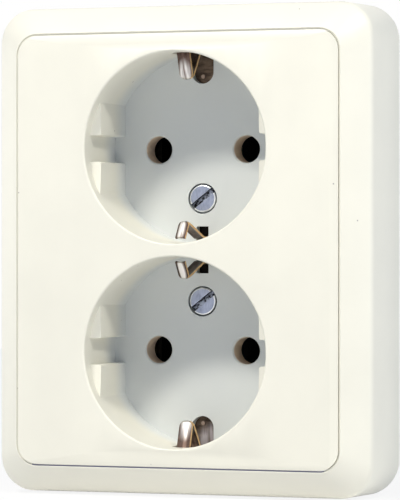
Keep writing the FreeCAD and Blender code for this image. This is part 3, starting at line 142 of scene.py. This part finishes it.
bpy.context.scene.view_settings.view_transform = "Standard"
room = bpy.data.worlds.new("room")
bpy.context.scene.world = room
room.use_nodes = True
room_tree = room.node_tree
faint = room_tree.nodes["Background"]
faint.inputs["Color"].default_value = ROOM_COLOUR
faint.inputs["Strength"].default_value = ROOM_LIGHT
white = room_tree.nodes.new("ShaderNodeBackground")
white.inputs["Color"].default_value = WHITE
white.inputs["Strength"].default_value = 1
either = room_tree.nodes.new("ShaderNodeMixShader")
room_tree.links.new(seen_share(room_tree), either.inputs[0])
room_tree.links.new(faint.outputs[0], either.inputs[1])
room_tree.links.new(white.outputs[0], either.inputs[2])
room_tree.links.new(either.outputs[0], room_tree.nodes["World Output"].inputs["Surface"])


# Floor
# A plain white sheet under the socket, which fades to white for the camera
# and keeps some of the socket's shadow.
FLOOR_GAP = 0.1 * MM
FLOOR_SIZE = 1.6
FLOOR_FADE = 0.88
PAPER = (0.9, 0.9, 0.9, 1)
PAPER_ROUGHNESS = 0.8

bpy.ops.mesh.primitive_plane_add(size=FLOOR_SIZE, location=(0, 0, cad_low.z - FLOOR_GAP))
floor = bpy.context.object
floor.name = "floor"
paper = bpy.data.materials.new("floor_paper")
paper.use_nodes = True
paper_tree = paper.node_tree
paper_face = paper_tree.nodes["Principled BSDF"]
paper_face.inputs["Base Color"].default_value = PAPER
paper_face.inputs["Roughness"].default_value = PAPER_ROUGHNESS
paper_white = paper_tree.nodes.new("ShaderNodeEmission")
paper_fade = paper_tree.nodes.new("ShaderNodeMath")
paper_fade.operation = "MULTIPLY"
paper_fade.inputs[1].default_value = FLOOR_FADE
paper_mix = paper_tree.nodes.new("ShaderNodeMixShader")
paper_tree.links.new(seen_share(paper_tree), paper_fade.inputs[0])
paper_tree.links.new(paper_fade.outputs[0], paper_mix.inputs[0])
paper_tree.links.new(paper_face.outputs[0], paper_mix.inputs[1])
paper_tree.links.new(paper_white.outputs[0], paper_mix.inputs[2])
paper_tree.links.new(paper_mix.outputs[0], paper_tree.nodes["Material Output"].inputs["Surface"])
floor.data.materials.append(paper)


# Surround frame
# The outer frame is moulded in warm white plastic, as a shell with slightly tapered sides,
# a broad bevel down from its window and a soft shoulder, with painted shade in the groove along
# the bottom of its window. The cover clamps it to the wall.
WALL_Y = 0
SHOULDER_Y = -17.35 * MM
INNER_SHOULDER_Y = -16.42 * MM
WINDOW_Y = -21.97 * MM
WINDOW_DEPTH = 2.62 * MM
SILL_DEPTH = 0.3 * MM
SILL_SLOPE = 0.1 * MM
SILL_REAR = 0.9 * MM
WINDOW = (68.66 * MM, 87.5 * MM, 4.4 * MM)
SILL = (68.12 * MM, 86.96 * MM, 4.13 * MM)
OUTER_RING = (80.4 * MM, 99.2 * MM, 7.4 * MM, WALL_Y)
SHOULDER_RING = (79.56 * MM, 98.36 * MM, 6.98 * MM, SHOULDER_Y)
WINDOW_RING = (*WINDOW, WINDOW_Y)
SILL_OUTER_RING = (*WINDOW, WINDOW_Y + SILL_DEPTH)
SILL_INNER_RING = (*SILL, WINDOW_Y + SILL_DEPTH + SILL_SLOPE)
SILL_REAR_RING = (*SILL, WINDOW_Y + SILL_REAR)
WINDOW_STEP_RING = (*WINDOW, WINDOW_Y + SILL_REAR + SILL_SLOPE)
WINDOW_REAR_RING = (*WINDOW, WINDOW_Y + WINDOW_DEPTH)
INNER_SHOULDER_RING = (75.56 * MM, 94.36 * MM, 4.98 * MM, INNER_SHOULDER_Y)
INNER_RING = (76.4 * MM, 95.2 * MM, 5.4 * MM, WALL_Y)
CORNER_STEPS = 12
SHOULDER_ROUNDING = (0.9 * MM, 6)
WINDOW_ROUNDING = (0.22 * MM, 3)
REAR_ROUNDING = (0.15 * MM, 2)
LEDGE = (1.07 * MM, 1.4 * MM, 76 * MM)
LEDGE_PLACE = (33.36 * MM, -19.9 * MM, 0)
RING_LEVEL = 0.001 * MM
RING_NEAR = 0.02 * MM
RING_MERGE = 0.001 * MM
SURROUND_CREASE = math.radians(32)
IVORY = (0.80, 0.785, 0.70)
DUST = (0.42, 0.40, 0.38)
# Painted shade: the dark blue-grey colour of the groove's bottom run.
GROOVE_SHADE = (0.26, 0.26, 0.35)
GROOVE_REACH = 0.05 * MM
PLASTIC_ROUGHNESS = 0.42
GROOVE_SHADE_ROUGHNESS = 0.7
ROUGHNESS_SPREAD = 0.05
CLOUD = {"Scale": 55.0, "Detail": 3.0, "Roughness": 0.55}
CLOUD_REACH = (0.3, 0.7)
CLOUD_TONES = (0.975, 1.02)
SKIN = {"Scale": 2600.0, "Detail": 2.0, "Roughness": 0.6}
SKIN_BUMP = {"Strength": 0.25, "Distance": 0.02 * MM}
SPECK_GRID = 240.0
SPECK_RADIUS = 0.042
SPECKLESS_SHARE = 0.72


def deselect():
    for item in bpy.context.selected_objects:
        item.select_set(False)


def start_edit(piece):
    deselect()
    piece.select_set(True)
    bpy.context.view_layer.objects.active = piece
    bpy.ops.object.mode_set(mode="EDIT")
    bpy.ops.mesh.select_all(action="DESELECT")


def end_edit():
    bpy.ops.object.mode_set(mode="OBJECT")


def pick_edges(piece, wanted):
    """In edit mode, select the edges that wanted accepts."""
    bpy.ops.mesh.select_mode(type="EDGE")
    mesh = bmesh.from_edit_mesh(piece.data)
    for edge in mesh.edges:
        edge.select = wanted(edge)
    mesh.select_flush_mode()
    bmesh.update_edit_mesh(piece.data)


def bevel_edges(piece, wanted, rounding):
    """In edit mode, round the edges that wanted accepts, by a width and a number of steps."""
    pick_edges(piece, wanted)
    bpy.ops.mesh.bevel(offset=rounding[0], segments=rounding[1], affect="EDGES")


def apply_place(piece):
    deselect()
    piece.select_set(True)
    bpy.context.view_layer.objects.active = piece
    bpy.ops.object.transform_apply(location=True, rotation=True, scale=True)


def join_pieces(pieces, name):
    deselect()
    for piece in pieces:
        piece.select_set(True)
    bpy.context.view_layer.objects.active = pieces[0]
    bpy.ops.object.join()
    joined = bpy.context.object
    joined.name = name
    joined.data.name = name
    return joined


def smooth_shade(piece, angle):
    deselect()
    piece.select_set(True)
    bpy.context.view_layer.objects.active = piece
    bpy.ops.object.shade_smooth_by_angle(angle=angle)
    deselect()


def rounded_ring(width, height, corner, y):
    """A rounded rectangle of edges that faces the viewer."""
    bpy.ops.mesh.primitive_plane_add(size=1, location=(0, y, 0), rotation=(math.pi / 2, 0, 0))
    ring = bpy.context.object
    ring.scale = (width, height, 1)
    apply_place(ring)
    start_edit(ring)
    bpy.ops.mesh.select_all(action="SELECT")
    bpy.ops.mesh.bevel(offset=corner, segments=CORNER_STEPS, affect="VERTICES")
    bpy.ops.mesh.select_all(action="SELECT")
    bpy.ops.mesh.delete(type="ONLY_FACE")
    end_edit()
    return ring


def along_ring(ring):
    """A test that accepts the edges with both ends on the rounded corners of a ring."""
    width, height, corner, y = ring

    def on_ring(place):
        across = abs(place.x) - (width / 2 - corner)
        up = abs(place.z) - (height / 2 - corner)
        level = abs(place.y - y) < RING_LEVEL
        return level and abs(math.hypot(across, up) - corner) < RING_NEAR
    return lambda edge: all(on_ring(end.co) for end in edge.verts)


surround_rings = [
    OUTER_RING, SHOULDER_RING, WINDOW_RING, SILL_OUTER_RING, SILL_INNER_RING, SILL_REAR_RING,
    WINDOW_STEP_RING, WINDOW_REAR_RING, INNER_SHOULDER_RING, INNER_RING,
]
surround = join_pieces([rounded_ring(*ring) for ring in surround_rings], "surround")
start_edit(surround)
for ring, following in zip(surround_rings, surround_rings[1:] + surround_rings[:1]):
    here, there = along_ring(ring), along_ring(following)
    pick_edges(surround, lambda edge: here(edge) or there(edge))
    bpy.ops.mesh.bridge_edge_loops()
bevel_edges(surround, along_ring(SHOULDER_RING), SHOULDER_ROUNDING)
bevel_edges(surround, along_ring(WINDOW_RING), WINDOW_ROUNDING)
for ring in (OUTER_RING, INNER_RING, WINDOW_REAR_RING):
    bevel_edges(surround, along_ring(ring), REAR_ROUNDING)
bpy.ops.mesh.select_all(action="SELECT")
bpy.ops.mesh.remove_doubles(threshold=RING_MERGE)
bpy.ops.mesh.normals_make_consistent(inside=False)
end_edit()

ledges = []
for side in (1, -1):
    ledge_place = (side * LEDGE_PLACE[0], LEDGE_PLACE[1], LEDGE_PLACE[2])
    bpy.ops.mesh.primitive_cube_add(size=1, location=ledge_place)
    ledge = bpy.context.object
    ledge.scale = LEDGE
    apply_place(ledge)
    ledges.append(ledge)
surround = join_pieces([surround] + ledges, "surround")
smooth_shade(surround, SURROUND_CREASE)


def new_material(name):
    """A new material, with its node tree, its surface shader and its object coordinates."""
    made = bpy.data.materials.new(name)
    made.use_nodes = True
    tree = made.node_tree
    place = tree.nodes.new("ShaderNodeTexCoord").outputs["Object"]
    return made, tree, tree.nodes["Principled BSDF"], place


def node_with(tree, kind, numbers, vector=None):
    """A new shader node with numbers on its sockets, fed with a vector where one is given."""
    made = tree.nodes.new(kind)
    for name, number in numbers.items():
        made.inputs[name].default_value = number
    if vector is not None:
        tree.links.new(vector, made.inputs["Vector"])
    return made


def computed(tree, operation, first, second):
    """The outcome of a calculation on one output and either a number or another output."""
    made = tree.nodes.new("ShaderNodeMath")
    made.operation = operation
    tree.links.new(first, made.inputs[0])
    if isinstance(second, float):
        made.inputs[1].default_value = second
    else:
        tree.links.new(second, made.inputs[1])
    return made.outputs[0]


def mixed(tree, share, under, over):
    """The colour of an output, with a fixed colour laid over it where the share is one."""
    made = tree.nodes.new("ShaderNodeMix")
    made.data_type = "RGBA"
    made.inputs["B"].default_value = (*over, 1)
    tree.links.new(share, made.inputs["Factor"])
    tree.links.new(under, made.inputs["A"])
    return made.outputs["Result"]


def shade_between(tree, factor, low, high):
    """A colour that goes from low to high with the factor."""
    ramp = tree.nodes.new("ShaderNodeValToRGB")
    for stop, (position, colour) in zip(ramp.color_ramp.elements, (low, high)):
        stop.position = position
        stop.color = (*colour, 1)
    tree.links.new(factor, ramp.inputs["Fac"])
    return ramp.outputs["Color"]


def ranged(tree, value, from_range, to_range, smooth=False):
    """A value moved from one range to another, held at its ends."""
    made = tree.nodes.new("ShaderNodeMapRange")
    if smooth:
        made.interpolation_type = "SMOOTHSTEP"
    made.inputs["From Min"].default_value, made.inputs["From Max"].default_value = from_range
    made.inputs["To Min"].default_value, made.inputs["To Max"].default_value = to_range
    tree.links.new(value, made.inputs["Value"])
    return made.outputs["Result"]


def add_bump(tree, shader, height, numbers):
    bump = node_with(tree, "ShaderNodeBump", numbers)
    tree.links.new(height, bump.inputs["Height"])
    tree.links.new(bump.outputs["Normal"], shader.inputs["Normal"])


def moulded_plastic(name, colour, roughness, specks, deep_shade=None):
    """Moulded plastic: faint clouding, a finely pitted skin and now and then a speck of dust.

    The last argument gives the colour of the painted shade far down in a well, and where it
    starts and ends.
    """
    made, tree, shader, place = new_material(name)
    cloud = node_with(tree, "ShaderNodeTexNoise", CLOUD, place)
    skin = node_with(tree, "ShaderNodeTexNoise", SKIN, place)
    tones = [tuple(min(part * tone, 1) for part in colour) for tone in CLOUD_TONES]
    shown = shade_between(tree, cloud.outputs["Fac"], *zip(CLOUD_REACH, tones))
    # Painted shade: the colour turns greyer and bluer with depth down the wells.
    if deep_shade:
        deep_shade_colour, start, end = deep_shade
        axes = node_with(tree, "ShaderNodeSeparateXYZ", {}, place)
        depth = ranged(tree, axes.outputs["Y"], (start, end), (0, 1), smooth=True)
        shown = mixed(tree, depth, shown, deep_shade_colour)
    if specks:
        grid = node_with(tree, "ShaderNodeTexVoronoi", {"Scale": SPECK_GRID}, place)
        near = computed(tree, "LESS_THAN", grid.outputs["Distance"], SPECK_RADIUS)
        parts = tree.nodes.new("ShaderNodeSeparateColor")
        tree.links.new(grid.outputs["Color"], parts.inputs["Color"])
        some = computed(tree, "GREATER_THAN", parts.outputs["Red"], SPECKLESS_SHARE)
        shown = mixed(tree, computed(tree, "MULTIPLY", near, some), shown, specks)
    tree.links.new(shown, shader.inputs["Base Color"])
    spread = (roughness - ROUGHNESS_SPREAD, roughness + ROUGHNESS_SPREAD)
    rough = ranged(tree, cloud.outputs["Fac"], (0, 1), spread)
    tree.links.new(rough, shader.inputs["Roughness"])
    add_bump(tree, shader, skin.outputs["Fac"], SKIN_BUMP)
    return made


def give(piece, *materials):
    piece.data.materials.clear()
    for material in materials:
        piece.data.materials.append(material)


ivory_plastic = moulded_plastic("ivory_plastic", IVORY, PLASTIC_ROUGHNESS, DUST)
groove_shade = moulded_plastic("groove_shade", GROOVE_SHADE, GROOVE_SHADE_ROUGHNESS, None)
give(surround, ivory_plastic, groove_shade)
# Painted shade: the faces along the bottom run of the groove round the window take the dark
# blue-grey colour.
groove_bottom = -WINDOW[1] / 2 - GROOVE_REACH
groove_top = -SILL[1] / 2 + GROOVE_REACH
groove_front = WINDOW_Y + WINDOW_ROUNDING[0]
groove_rear = WINDOW_Y + SILL_REAR + GROOVE_REACH
for face in surround.data.polygons:
    low = groove_bottom < face.center.z < groove_top
    deep = groove_front < face.center.y < groove_rear
    face.material_index = int(low and deep)
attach(surround, "socket")
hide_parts("surround_frame")


# Socket cover
# The domed plate and both wells are one moulding of the same warm white plastic, coloured
# greyer and bluer deep in the wells as painted shade. Its edges are rounded a little, as a mould
# leaves them, and two screws in the wells hold it down.
# The plugs' pins have rubbed the walls of the pin holes brown.
COVER_EDGE = 0.16 * MM
EDGE_STEPS = 3
SHARP_ANGLE = math.radians(28)
CREASE_ANGLE = math.radians(30)
FLAT_ANGLE = math.radians(0.3)
SOLID_MERGE = 0.002 * MM
FLATS_WEIGHT = 100
# Painted shade: the walls and floors deep in the wells are coloured greyer and bluer than the
# face.
WELL_SHADE = (0.68, 0.705, 0.705)
WELL_SHADE_START = -13.0 * MM
WELL_SHADE_END = -6.2 * MM
PIN_BORE = (0.78, 0.65, 0.52)
PIN_BORE_ROUGHNESS = 0.5
PIN_BORE_RADIUS = 2.83 * MM
PIN_PLACE = (9.5 * MM, 20.5 * MM)


def modify(piece, kind, **settings):
    """Give a piece a modifier with these settings, and apply it."""
    modifier = piece.modifiers.new("change", kind)
    for name, setting in settings.items():
        setattr(modifier, name, setting)
    bpy.context.view_layer.objects.active = piece
    bpy.ops.object.modifier_apply(modifier="change")


def rounded_copy(node_name, piece_name, edge):
    """A copy of a solid, merged, with its sharp edges rounded as a mould or press leaves them."""
    deselect()
    copy = bpy.data.objects.new(piece_name, nodes[node_name].data.copy())
    bpy.context.scene.collection.objects.link(copy)
    start_edit(copy)
    bpy.ops.mesh.select_all(action="SELECT")
    bpy.ops.mesh.remove_doubles(threshold=SOLID_MERGE)
    bpy.ops.mesh.customdata_custom_splitnormals_clear()
    bpy.ops.mesh.select_all(action="SELECT")
    bpy.ops.mesh.dissolve_limited(angle_limit=FLAT_ANGLE)
    end_edit()
    modify(
        copy, "BEVEL", width=edge, segments=EDGE_STEPS, limit_method="ANGLE",
        angle_limit=SHARP_ANGLE, miter_outer="MITER_ARC",
    )
    smooth_shade(copy, CREASE_ANGLE)
    modify(copy, "WEIGHTED_NORMAL", mode="FACE_AREA", weight=FLATS_WEIGHT, keep_sharp=True)
    return copy


def stand_for(piece, node_name, body, slot, *materials):
    give(piece, *materials)
    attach(piece, body)
    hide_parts(node_name)


cover = rounded_copy("socket_cover", "cover", COVER_EDGE)
cover_plastic = moulded_plastic(
    "cover_plastic", IVORY, PLASTIC_ROUGHNESS, DUST,
    deep_shade=(WELL_SHADE, WELL_SHADE_START, WELL_SHADE_END),
)
pin_rubbed = moulded_plastic("pin_rubbed_plastic", PIN_BORE, PIN_BORE_ROUGHNESS, None)
stand_for(cover, "socket_cover", "socket", "ivory_plastic", cover_plastic, pin_rubbed)
for face in cover.data.polygons:
    across, up = abs(face.center.x) - PIN_PLACE[0], abs(face.center.z) - PIN_PLACE[1]
    face.material_index = int(math.hypot(across, up) < PIN_BORE_RADIUS)


# Cover screws
# Two cheese-head screws of zinc-plated steel hold the cover down on the bushes behind it.
# The chamfers and slot edges are painted bright, as a painted highlight, and the slots and the
# sides of the heads are blotched near black, as grime with painted shade.
HEAD_RADIUS = 2.84 * MM
HEAD_HEIGHT = 1.9 * MM
HEAD_CHAMFER = (0.3 * MM, 3)
HEAD_FRONT = 0.001 * MM
SLOT_WIDTH = 1.15 * MM
SLOT_DEPTH = 1.2 * MM
SLOT_LENGTH = 3 * HEAD_RADIUS
SLOT_TURN = math.radians(38)
SLOT_EDGE = 0.11 * MM
SLOT_EDGE_STEPS = 2
SLOT_SHARP_ANGLE = math.radians(50)
SHANK_RADIUS = 1.72 * MM
BAR_SIDES = 64
# Painted highlight: faces that turn partly to the front, on the chamfer and slot edges, are
# bright zinc.
HIGHLIGHT_TILT = (0.15, 0.97)
ZINC = (0.38, 0.42, 0.54)
ZINC_DULL = (0.20, 0.225, 0.31)
ZINC_ROUGHNESS = 0.34
ZINC_GRAIN = (2600.0, 400.0, 700.0)
HIGHLIGHT_ZINC = (0.92, 0.94, 0.97)
HIGHLIGHT_DULL = (0.66, 0.69, 0.74)
HIGHLIGHT_ROUGHNESS = 0.3
HIGHLIGHT_GRAIN = (900.0, 900.0, 900.0)
# Grime with painted shade: the slots and the heads below their fronts are blotched near black.
GRIME_AND_SHADE = (0.42, 0.46, 0.56)
GRIME_AND_SHADE_DARK = (0.02, 0.018, 0.022)
GRIME_AND_SHADE_ROUGHNESS = 0.5
GRIME_AND_SHADE_GRAIN = (1500.0, 1500.0, 1500.0)
GRIME_AND_SHADE_STAINS = (1300.0, 0.44, 0.54)
GRIME_AND_SHADE_INDEX, HIGHLIGHT_INDEX = 1, 2
FAINT_STAINS = (260.0, 0.38, 0.68)
STAIN_SHARE = 0.5
STAIN = {"Detail": 4.0, "Roughness": 0.6}
GRAIN = {"Scale": 1.0, "Detail": 3.0, "Roughness": 0.6}
GRAIN_BUMP = {"Strength": 0.35, "Distance": 0.01 * MM}
SMOOTHER, ROUGHER = 0.1, 0.14


def worked_metal(name, clean, stained, roughness, grain, stains=FAINT_STAINS):
    """Rolled, drawn or turned metal: soft stains, and fine lines that follow the grain.

    grain gives how close the lines lie along x, y and z, and stains their scale and reach.
    """
    made, tree, shader, place = new_material(name)
    shader.inputs["Metallic"].default_value = 1
    scale, reach_from, reach_to = stains
    patches = node_with(tree, "ShaderNodeTexNoise", {"Scale": scale, **STAIN}, place)
    drawn = node_with(tree, "ShaderNodeMapping", {"Scale": grain}, place)
    lines = node_with(tree, "ShaderNodeTexNoise", GRAIN, drawn.outputs["Vector"])
    both = tree.nodes.new("ShaderNodeMath")
    both.operation = "MULTIPLY_ADD"
    both.inputs[1].default_value = STAIN_SHARE
    lined = computed(tree, "MULTIPLY", lines.outputs["Fac"], 1 - STAIN_SHARE)
    tree.links.new(patches.outputs["Fac"], both.inputs[0])
    tree.links.new(lined, both.inputs[2])
    worn = both.outputs[0]
    colour = shade_between(tree, worn, (reach_from, clean), (reach_to, stained))
    tree.links.new(colour, shader.inputs["Base Color"])
    rough = ranged(tree, worn, (0, 1), (roughness - SMOOTHER, roughness + ROUGHER))
    tree.links.new(rough, shader.inputs["Roughness"])
    add_bump(tree, shader, lines.outputs["Fac"], GRAIN_BUMP)
    return made


zinc_plating = worked_metal("zinc_plating", ZINC, ZINC_DULL, ZINC_ROUGHNESS, ZINC_GRAIN)
highlight_zinc = worked_metal(
    "highlight_zinc", HIGHLIGHT_ZINC, HIGHLIGHT_DULL, HIGHLIGHT_ROUGHNESS, HIGHLIGHT_GRAIN,
)
slot_grime_and_shade = worked_metal(
    "slot_grime_and_shade", GRIME_AND_SHADE, GRIME_AND_SHADE_DARK, GRIME_AND_SHADE_ROUGHNESS, GRIME_AND_SHADE_GRAIN, GRIME_AND_SHADE_STAINS,
)


def add_bar(radius, front, rear, height):
    """A round bar across the wall, from its front to its rear."""
    bpy.ops.mesh.primitive_cylinder_add(
        vertices=BAR_SIDES, radius=radius, depth=rear - front,
        location=(0, (front + rear) / 2, height), rotation=(math.pi / 2, 0, 0),
    )
    apply_place(bpy.context.object)
    return bpy.context.object


def cheese_head_screw(name, node_name):
    """A screw with a chamfered and slotted head, as long as its solid, and where it starts."""
    low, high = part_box(node_name)
    height = (low.z + high.z) / 2

    def at_front(edge):
        return all(end.co.y < low.y + HEAD_FRONT for end in edge.verts)

    head = add_bar(HEAD_RADIUS, low.y, low.y + HEAD_HEIGHT, height)
    start_edit(head)
    bevel_edges(head, at_front, HEAD_CHAMFER)
    end_edit()
    bpy.ops.mesh.primitive_cube_add(
        size=1, location=(0, low.y, height), rotation=(0, -SLOT_TURN, 0),
    )
    slot = bpy.context.object
    slot.scale = (SLOT_LENGTH, 2 * SLOT_DEPTH, SLOT_WIDTH)
    apply_place(slot)
    modify(head, "BOOLEAN", operation="DIFFERENCE", solver="EXACT", object=slot)
    bpy.data.objects.remove(slot)
    modify(
        head, "BEVEL", width=SLOT_EDGE, segments=SLOT_EDGE_STEPS, limit_method="ANGLE",
        angle_limit=SLOT_SHARP_ANGLE,
    )
    shank = add_bar(SHANK_RADIUS, low.y + HEAD_HEIGHT, high.y, height)
    screw = join_pieces([head, shank], name)
    smooth_shade(screw, CREASE_ANGLE)
    return screw, low.y


for level in ("upper", "lower"):
    node_name = f"{level}_cover_screw"
    screw, front = cheese_head_screw(f"{level}_screw", node_name)
    stand_for(screw, node_name, "socket", "zinc_screw", zinc_plating, slot_grime_and_shade, highlight_zinc)
    # Painted shade with grime below the front of each head, and a painted highlight on its
    # chamfer and slot edges.
    for face in screw.data.polygons:
        if face.center.y > front + HEAD_CHAMFER[0]:
            face.material_index = GRIME_AND_SHADE_INDEX
        elif HIGHLIGHT_TILT[0] < -face.normal.y < HIGHLIGHT_TILT[1]:
            face.material_index = HIGHLIGHT_INDEX


# Earth contacts
# Each well has two spring contacts, cut and bent from nickelled brass strip, so the cut edges
# show the brass. Their tails are held in slots of the earth bar. The plating has tarnished in
# dark streaks, and each crest carries a streaky patch of bright nickel, a painted highlight.
CONTACT_EDGE = 0.07 * MM
CUT_FACE = 0.5
WELL_MIDDLE = 20.5 * MM
CRESTS = {
    "outer": (-15.7 * MM, 14.9 * MM, 3.9 * MM, (2.3, 1, 1)),
    "inner": (-18.1 * MM, -16.3 * MM, 3.9 * MM, (4.2, 1, 1)),
}
CREST_HIGHLIGHT = (0.80, 0.77, 0.75)
TARNISH = (0.17, 0.115, 0.095)
TARNISH_DARK = (0.05, 0.032, 0.026)
TARNISH_ROUGHNESS = 0.3
TARNISH_GRAIN = (1500.0, 160.0, 160.0)
TARNISH_STAINS = (420.0, 0.4, 0.62)
CUT_BRASS = (0.95, 0.62, 0.27)
CUT_BRASS_DARK = (0.55, 0.31, 0.12)
CUT_ROUGHNESS = 0.35
CUT_GRAIN = (3000.0, 500.0, 500.0)
PATCH_CORE = 0.35
STREAK = {"Scale": 1.0, "Detail": 2.0}
STREAK_GRAIN = (1100.0, 120.0, 120.0)
STREAK_REACH = (0.35, 0.65)
STREAKY = (1.6, 0.15)


def add_patch(made, colour, centre, reach, squash, kept_shares=STREAKY):
    """Lay a round patch of another colour over a metal, broken up in streaks along its strip.

    squash scales the distances along x, y and z, and kept_shares says how broken the patch is.
    """
    tree = made.node_tree
    shader = tree.nodes["Principled BSDF"]
    under = shader.inputs["Base Color"].links[0].from_socket
    place = tree.nodes.new("ShaderNodeTexCoord").outputs["Object"]
    moved = tuple(-part * by for part, by in zip(centre, squash))
    centred = node_with(tree, "ShaderNodeMapping", {"Scale": squash, "Location": moved}, place)
    far = tree.nodes.new("ShaderNodeVectorMath")
    far.operation = "LENGTH"
    tree.links.new(centred.outputs["Vector"], far.inputs[0])
    fading = (reach, reach * PATCH_CORE)
    near = ranged(tree, far.outputs["Value"], fading, (0, 1), smooth=True)
    drawn = node_with(tree, "ShaderNodeMapping", {"Scale": STREAK_GRAIN}, place)
    broken = node_with(tree, "ShaderNodeTexNoise", STREAK, drawn.outputs["Vector"])
    kept = ranged(tree, broken.outputs["Fac"], STREAK_REACH, kept_shares)
    share = computed(tree, "MULTIPLY", near, kept)
    share.node.use_clamp = True
    tree.links.new(mixed(tree, share, under, colour), shader.inputs["Base Color"])


cut_brass = worked_metal("cut_brass", CUT_BRASS, CUT_BRASS_DARK, CUT_ROUGHNESS, CUT_GRAIN)
for level, up in (("upper", 1), ("lower", -1)):
    for place, (crest_y, crest_out, reach, squash) in CRESTS.items():
        node_name = f"{level}_{place}_earth_contact"
        contact = rounded_copy(node_name, f"{level}_{place}_spring", CONTACT_EDGE)
        plating = worked_metal(
            f"{level}_{place}_nickel", TARNISH, TARNISH_DARK, TARNISH_ROUGHNESS,
            TARNISH_GRAIN, TARNISH_STAINS,
        )
        crest = (0, crest_y, up * (WELL_MIDDLE + crest_out))
        # Painted highlight: a streaky patch of bright nickel on each crest.
        add_patch(plating, CREST_HIGHLIGHT, crest, reach, squash)
        body = f"{level}_{place}_contact"
        stand_for(contact, node_name, body, "nickelled_contact", plating, cut_brass)
        for face in contact.data.polygons:
            face.material_index = int(abs(face.normal.x) > CUT_FACE)


# Mounting strap
# A stamped and bent strap of zinc-plated steel carries the socket on the wall box.
# Four rivets hold it to the base.
STRAP_EDGE = 0.14 * MM
STRAP_ZINC = (0.60, 0.60, 0.57)
STRAP_DULL = (0.36, 0.355, 0.33)
STRAP_ROUGHNESS = 0.42
STRAP_GRAIN = (2400.0, 2400.0, 90.0)
RIVET_STEEL = (0.56, 0.55, 0.53)
RIVET_DULL = (0.30, 0.29, 0.28)
RIVET_ROUGHNESS = 0.4
RIVET_GRAIN = (900.0, 900.0, 900.0)

strap_zinc = worked_metal("strap_zinc", STRAP_ZINC, STRAP_DULL, STRAP_ROUGHNESS, STRAP_GRAIN)
strap = rounded_copy("mounting_strap", "strap", STRAP_EDGE)
stand_for(strap, "mounting_strap", "socket", "strap_steel", strap_zinc)
rivet_steel = worked_metal(
    "rivet_steel", RIVET_STEEL, RIVET_DULL, RIVET_ROUGHNESS, RIVET_GRAIN,
)
give(nodes["strap_rivets"], rivet_steel)


# Claws
# Two hardened claws swing out on pins when their screws are tightened, and grip the wall box.
# Claws and screws are zinc-plated like the strap.
CLAW_EDGE = 0.12 * MM
CLAW_SCREW_EDGE = 0.09 * MM

for side in ("left", "right"):
    claw = rounded_copy(f"{side}_claw", f"{side}_grip", CLAW_EDGE)
    stand_for(claw, f"{side}_claw", f"{side}_claw", "strap_steel", strap_zinc)
    node_name = f"{side}_claw_screw"
    screw = rounded_copy(node_name, f"{side}_grip_screw", CLAW_SCREW_EDGE)
    stand_for(screw, node_name, node_name, "zinc_screw", strap_zinc)
    give(nodes[f"{side}_claw_pin"], rivet_steel)


# Base and rear cover
# The base is moulded in dark heat-proof plastic, with chambers for the contacts, and a
# thin cover of the same plastic closes it at the back.
BASE_EDGE = 0.2 * MM
BASE_DARK = (0.022, 0.021, 0.019)
BASE_ROUGHNESS = 0.5

base_plastic = moulded_plastic("base_plastic", BASE_DARK, BASE_ROUGHNESS, None)
for node_name, piece_name in (("contact_base", "base"), ("rear_cover", "back_lid")):
    moulding = rounded_copy(node_name, piece_name, BASE_EDGE)
    stand_for(moulding, node_name, "socket", "base_plastic", base_plastic)


# Brass inside the base
# The busbars with their pin clips, the screw bushes and the terminal clamps are stamped from
# brass strip, which has gone dull and dark, and the terminal screws are zinc-plated. The pin
# clips are coloured near black, a painted shade.
BRASS = (0.185, 0.135, 0.10)
BRASS_DARK = (0.045, 0.032, 0.025)
BRASS_ROUGHNESS = 0.42
BRASS_GRAIN = (300.0, 900.0, 1200.0)
BRASS_STAINS = (300.0, 0.4, 0.62)
# Painted shade: the pin clips are coloured near black.
CLIP_SHADE = (0.03, 0.028, 0.022)
CLIP_SHADE_DARK = (0.012, 0.011, 0.009)
CLIP_ROUGHNESS = 0.55

dull_brass = worked_metal(
    "dull_brass", BRASS, BRASS_DARK, BRASS_ROUGHNESS, BRASS_GRAIN, BRASS_STAINS,
)
clip_painted_shade = worked_metal("clip_painted_shade", CLIP_SHADE, CLIP_SHADE_DARK, CLIP_ROUGHNESS, BRASS_GRAIN)
for name, node in nodes.items():
    if name.endswith(("_busbar", "_screw_bush", "_terminal_clamp")):
        give(node, dull_brass)
    if name.endswith("_pin_clip"):
        give(node, clip_painted_shade)
    if name.endswith("_terminal_screw"):
        give(node, strap_zinc)


# Earth bar
# A strip of the same dull brass joins the earth contacts behind the wells, and two rivets hold
# it to the base. Some plating is left near its lower end. Behind the inner contacts it is
# coloured near black, a painted shade, and the pips at its ends are coloured lighter, a painted
# highlight.
BAR_PLATING = (0.45, 0.41, 0.43)
BAR_PLATING_PLACE = (2.3 * MM, 40 * MM, 5.5 * MM)
# Painted shade: near black behind the inner contacts.
SHADE_BEHIND_CONTACTS = (0.012, 0.010, 0.009)
SHADE_PLACE = (0, 3.2 * MM, 9 * MM)
# Painted highlight: a lighter spot on each pip.
PIP_HIGHLIGHT = (0.36, 0.27, 0.22)
PIP_PLACE = (-0.5 * MM, 35.5 * MM, 0.55 * MM)
THROUGH_BAR = (1, 0, 1)
WHOLE = (1.6, 1.2)

bar_brass = worked_metal(
    "bar_brass", BRASS, BRASS_DARK, BRASS_ROUGHNESS, BRASS_GRAIN, BRASS_STAINS,
)
x, z, reach = BAR_PLATING_PLACE
add_patch(bar_brass, BAR_PLATING, (x, 0, -z), reach, THROUGH_BAR)
# Painted shade behind the inner contacts and a painted highlight on each pip, at both ends of the
# bar.
for up in (1, -1):
    for colour, (x, z, reach) in ((SHADE_BEHIND_CONTACTS, SHADE_PLACE), (PIP_HIGHLIGHT, PIP_PLACE)):
        add_patch(bar_brass, colour, (x, 0, up * z), reach, THROUGH_BAR, WHOLE)
give(nodes["earth_bar"], bar_brass)
give(nodes["earth_bar_rivets"], rivet_steel)
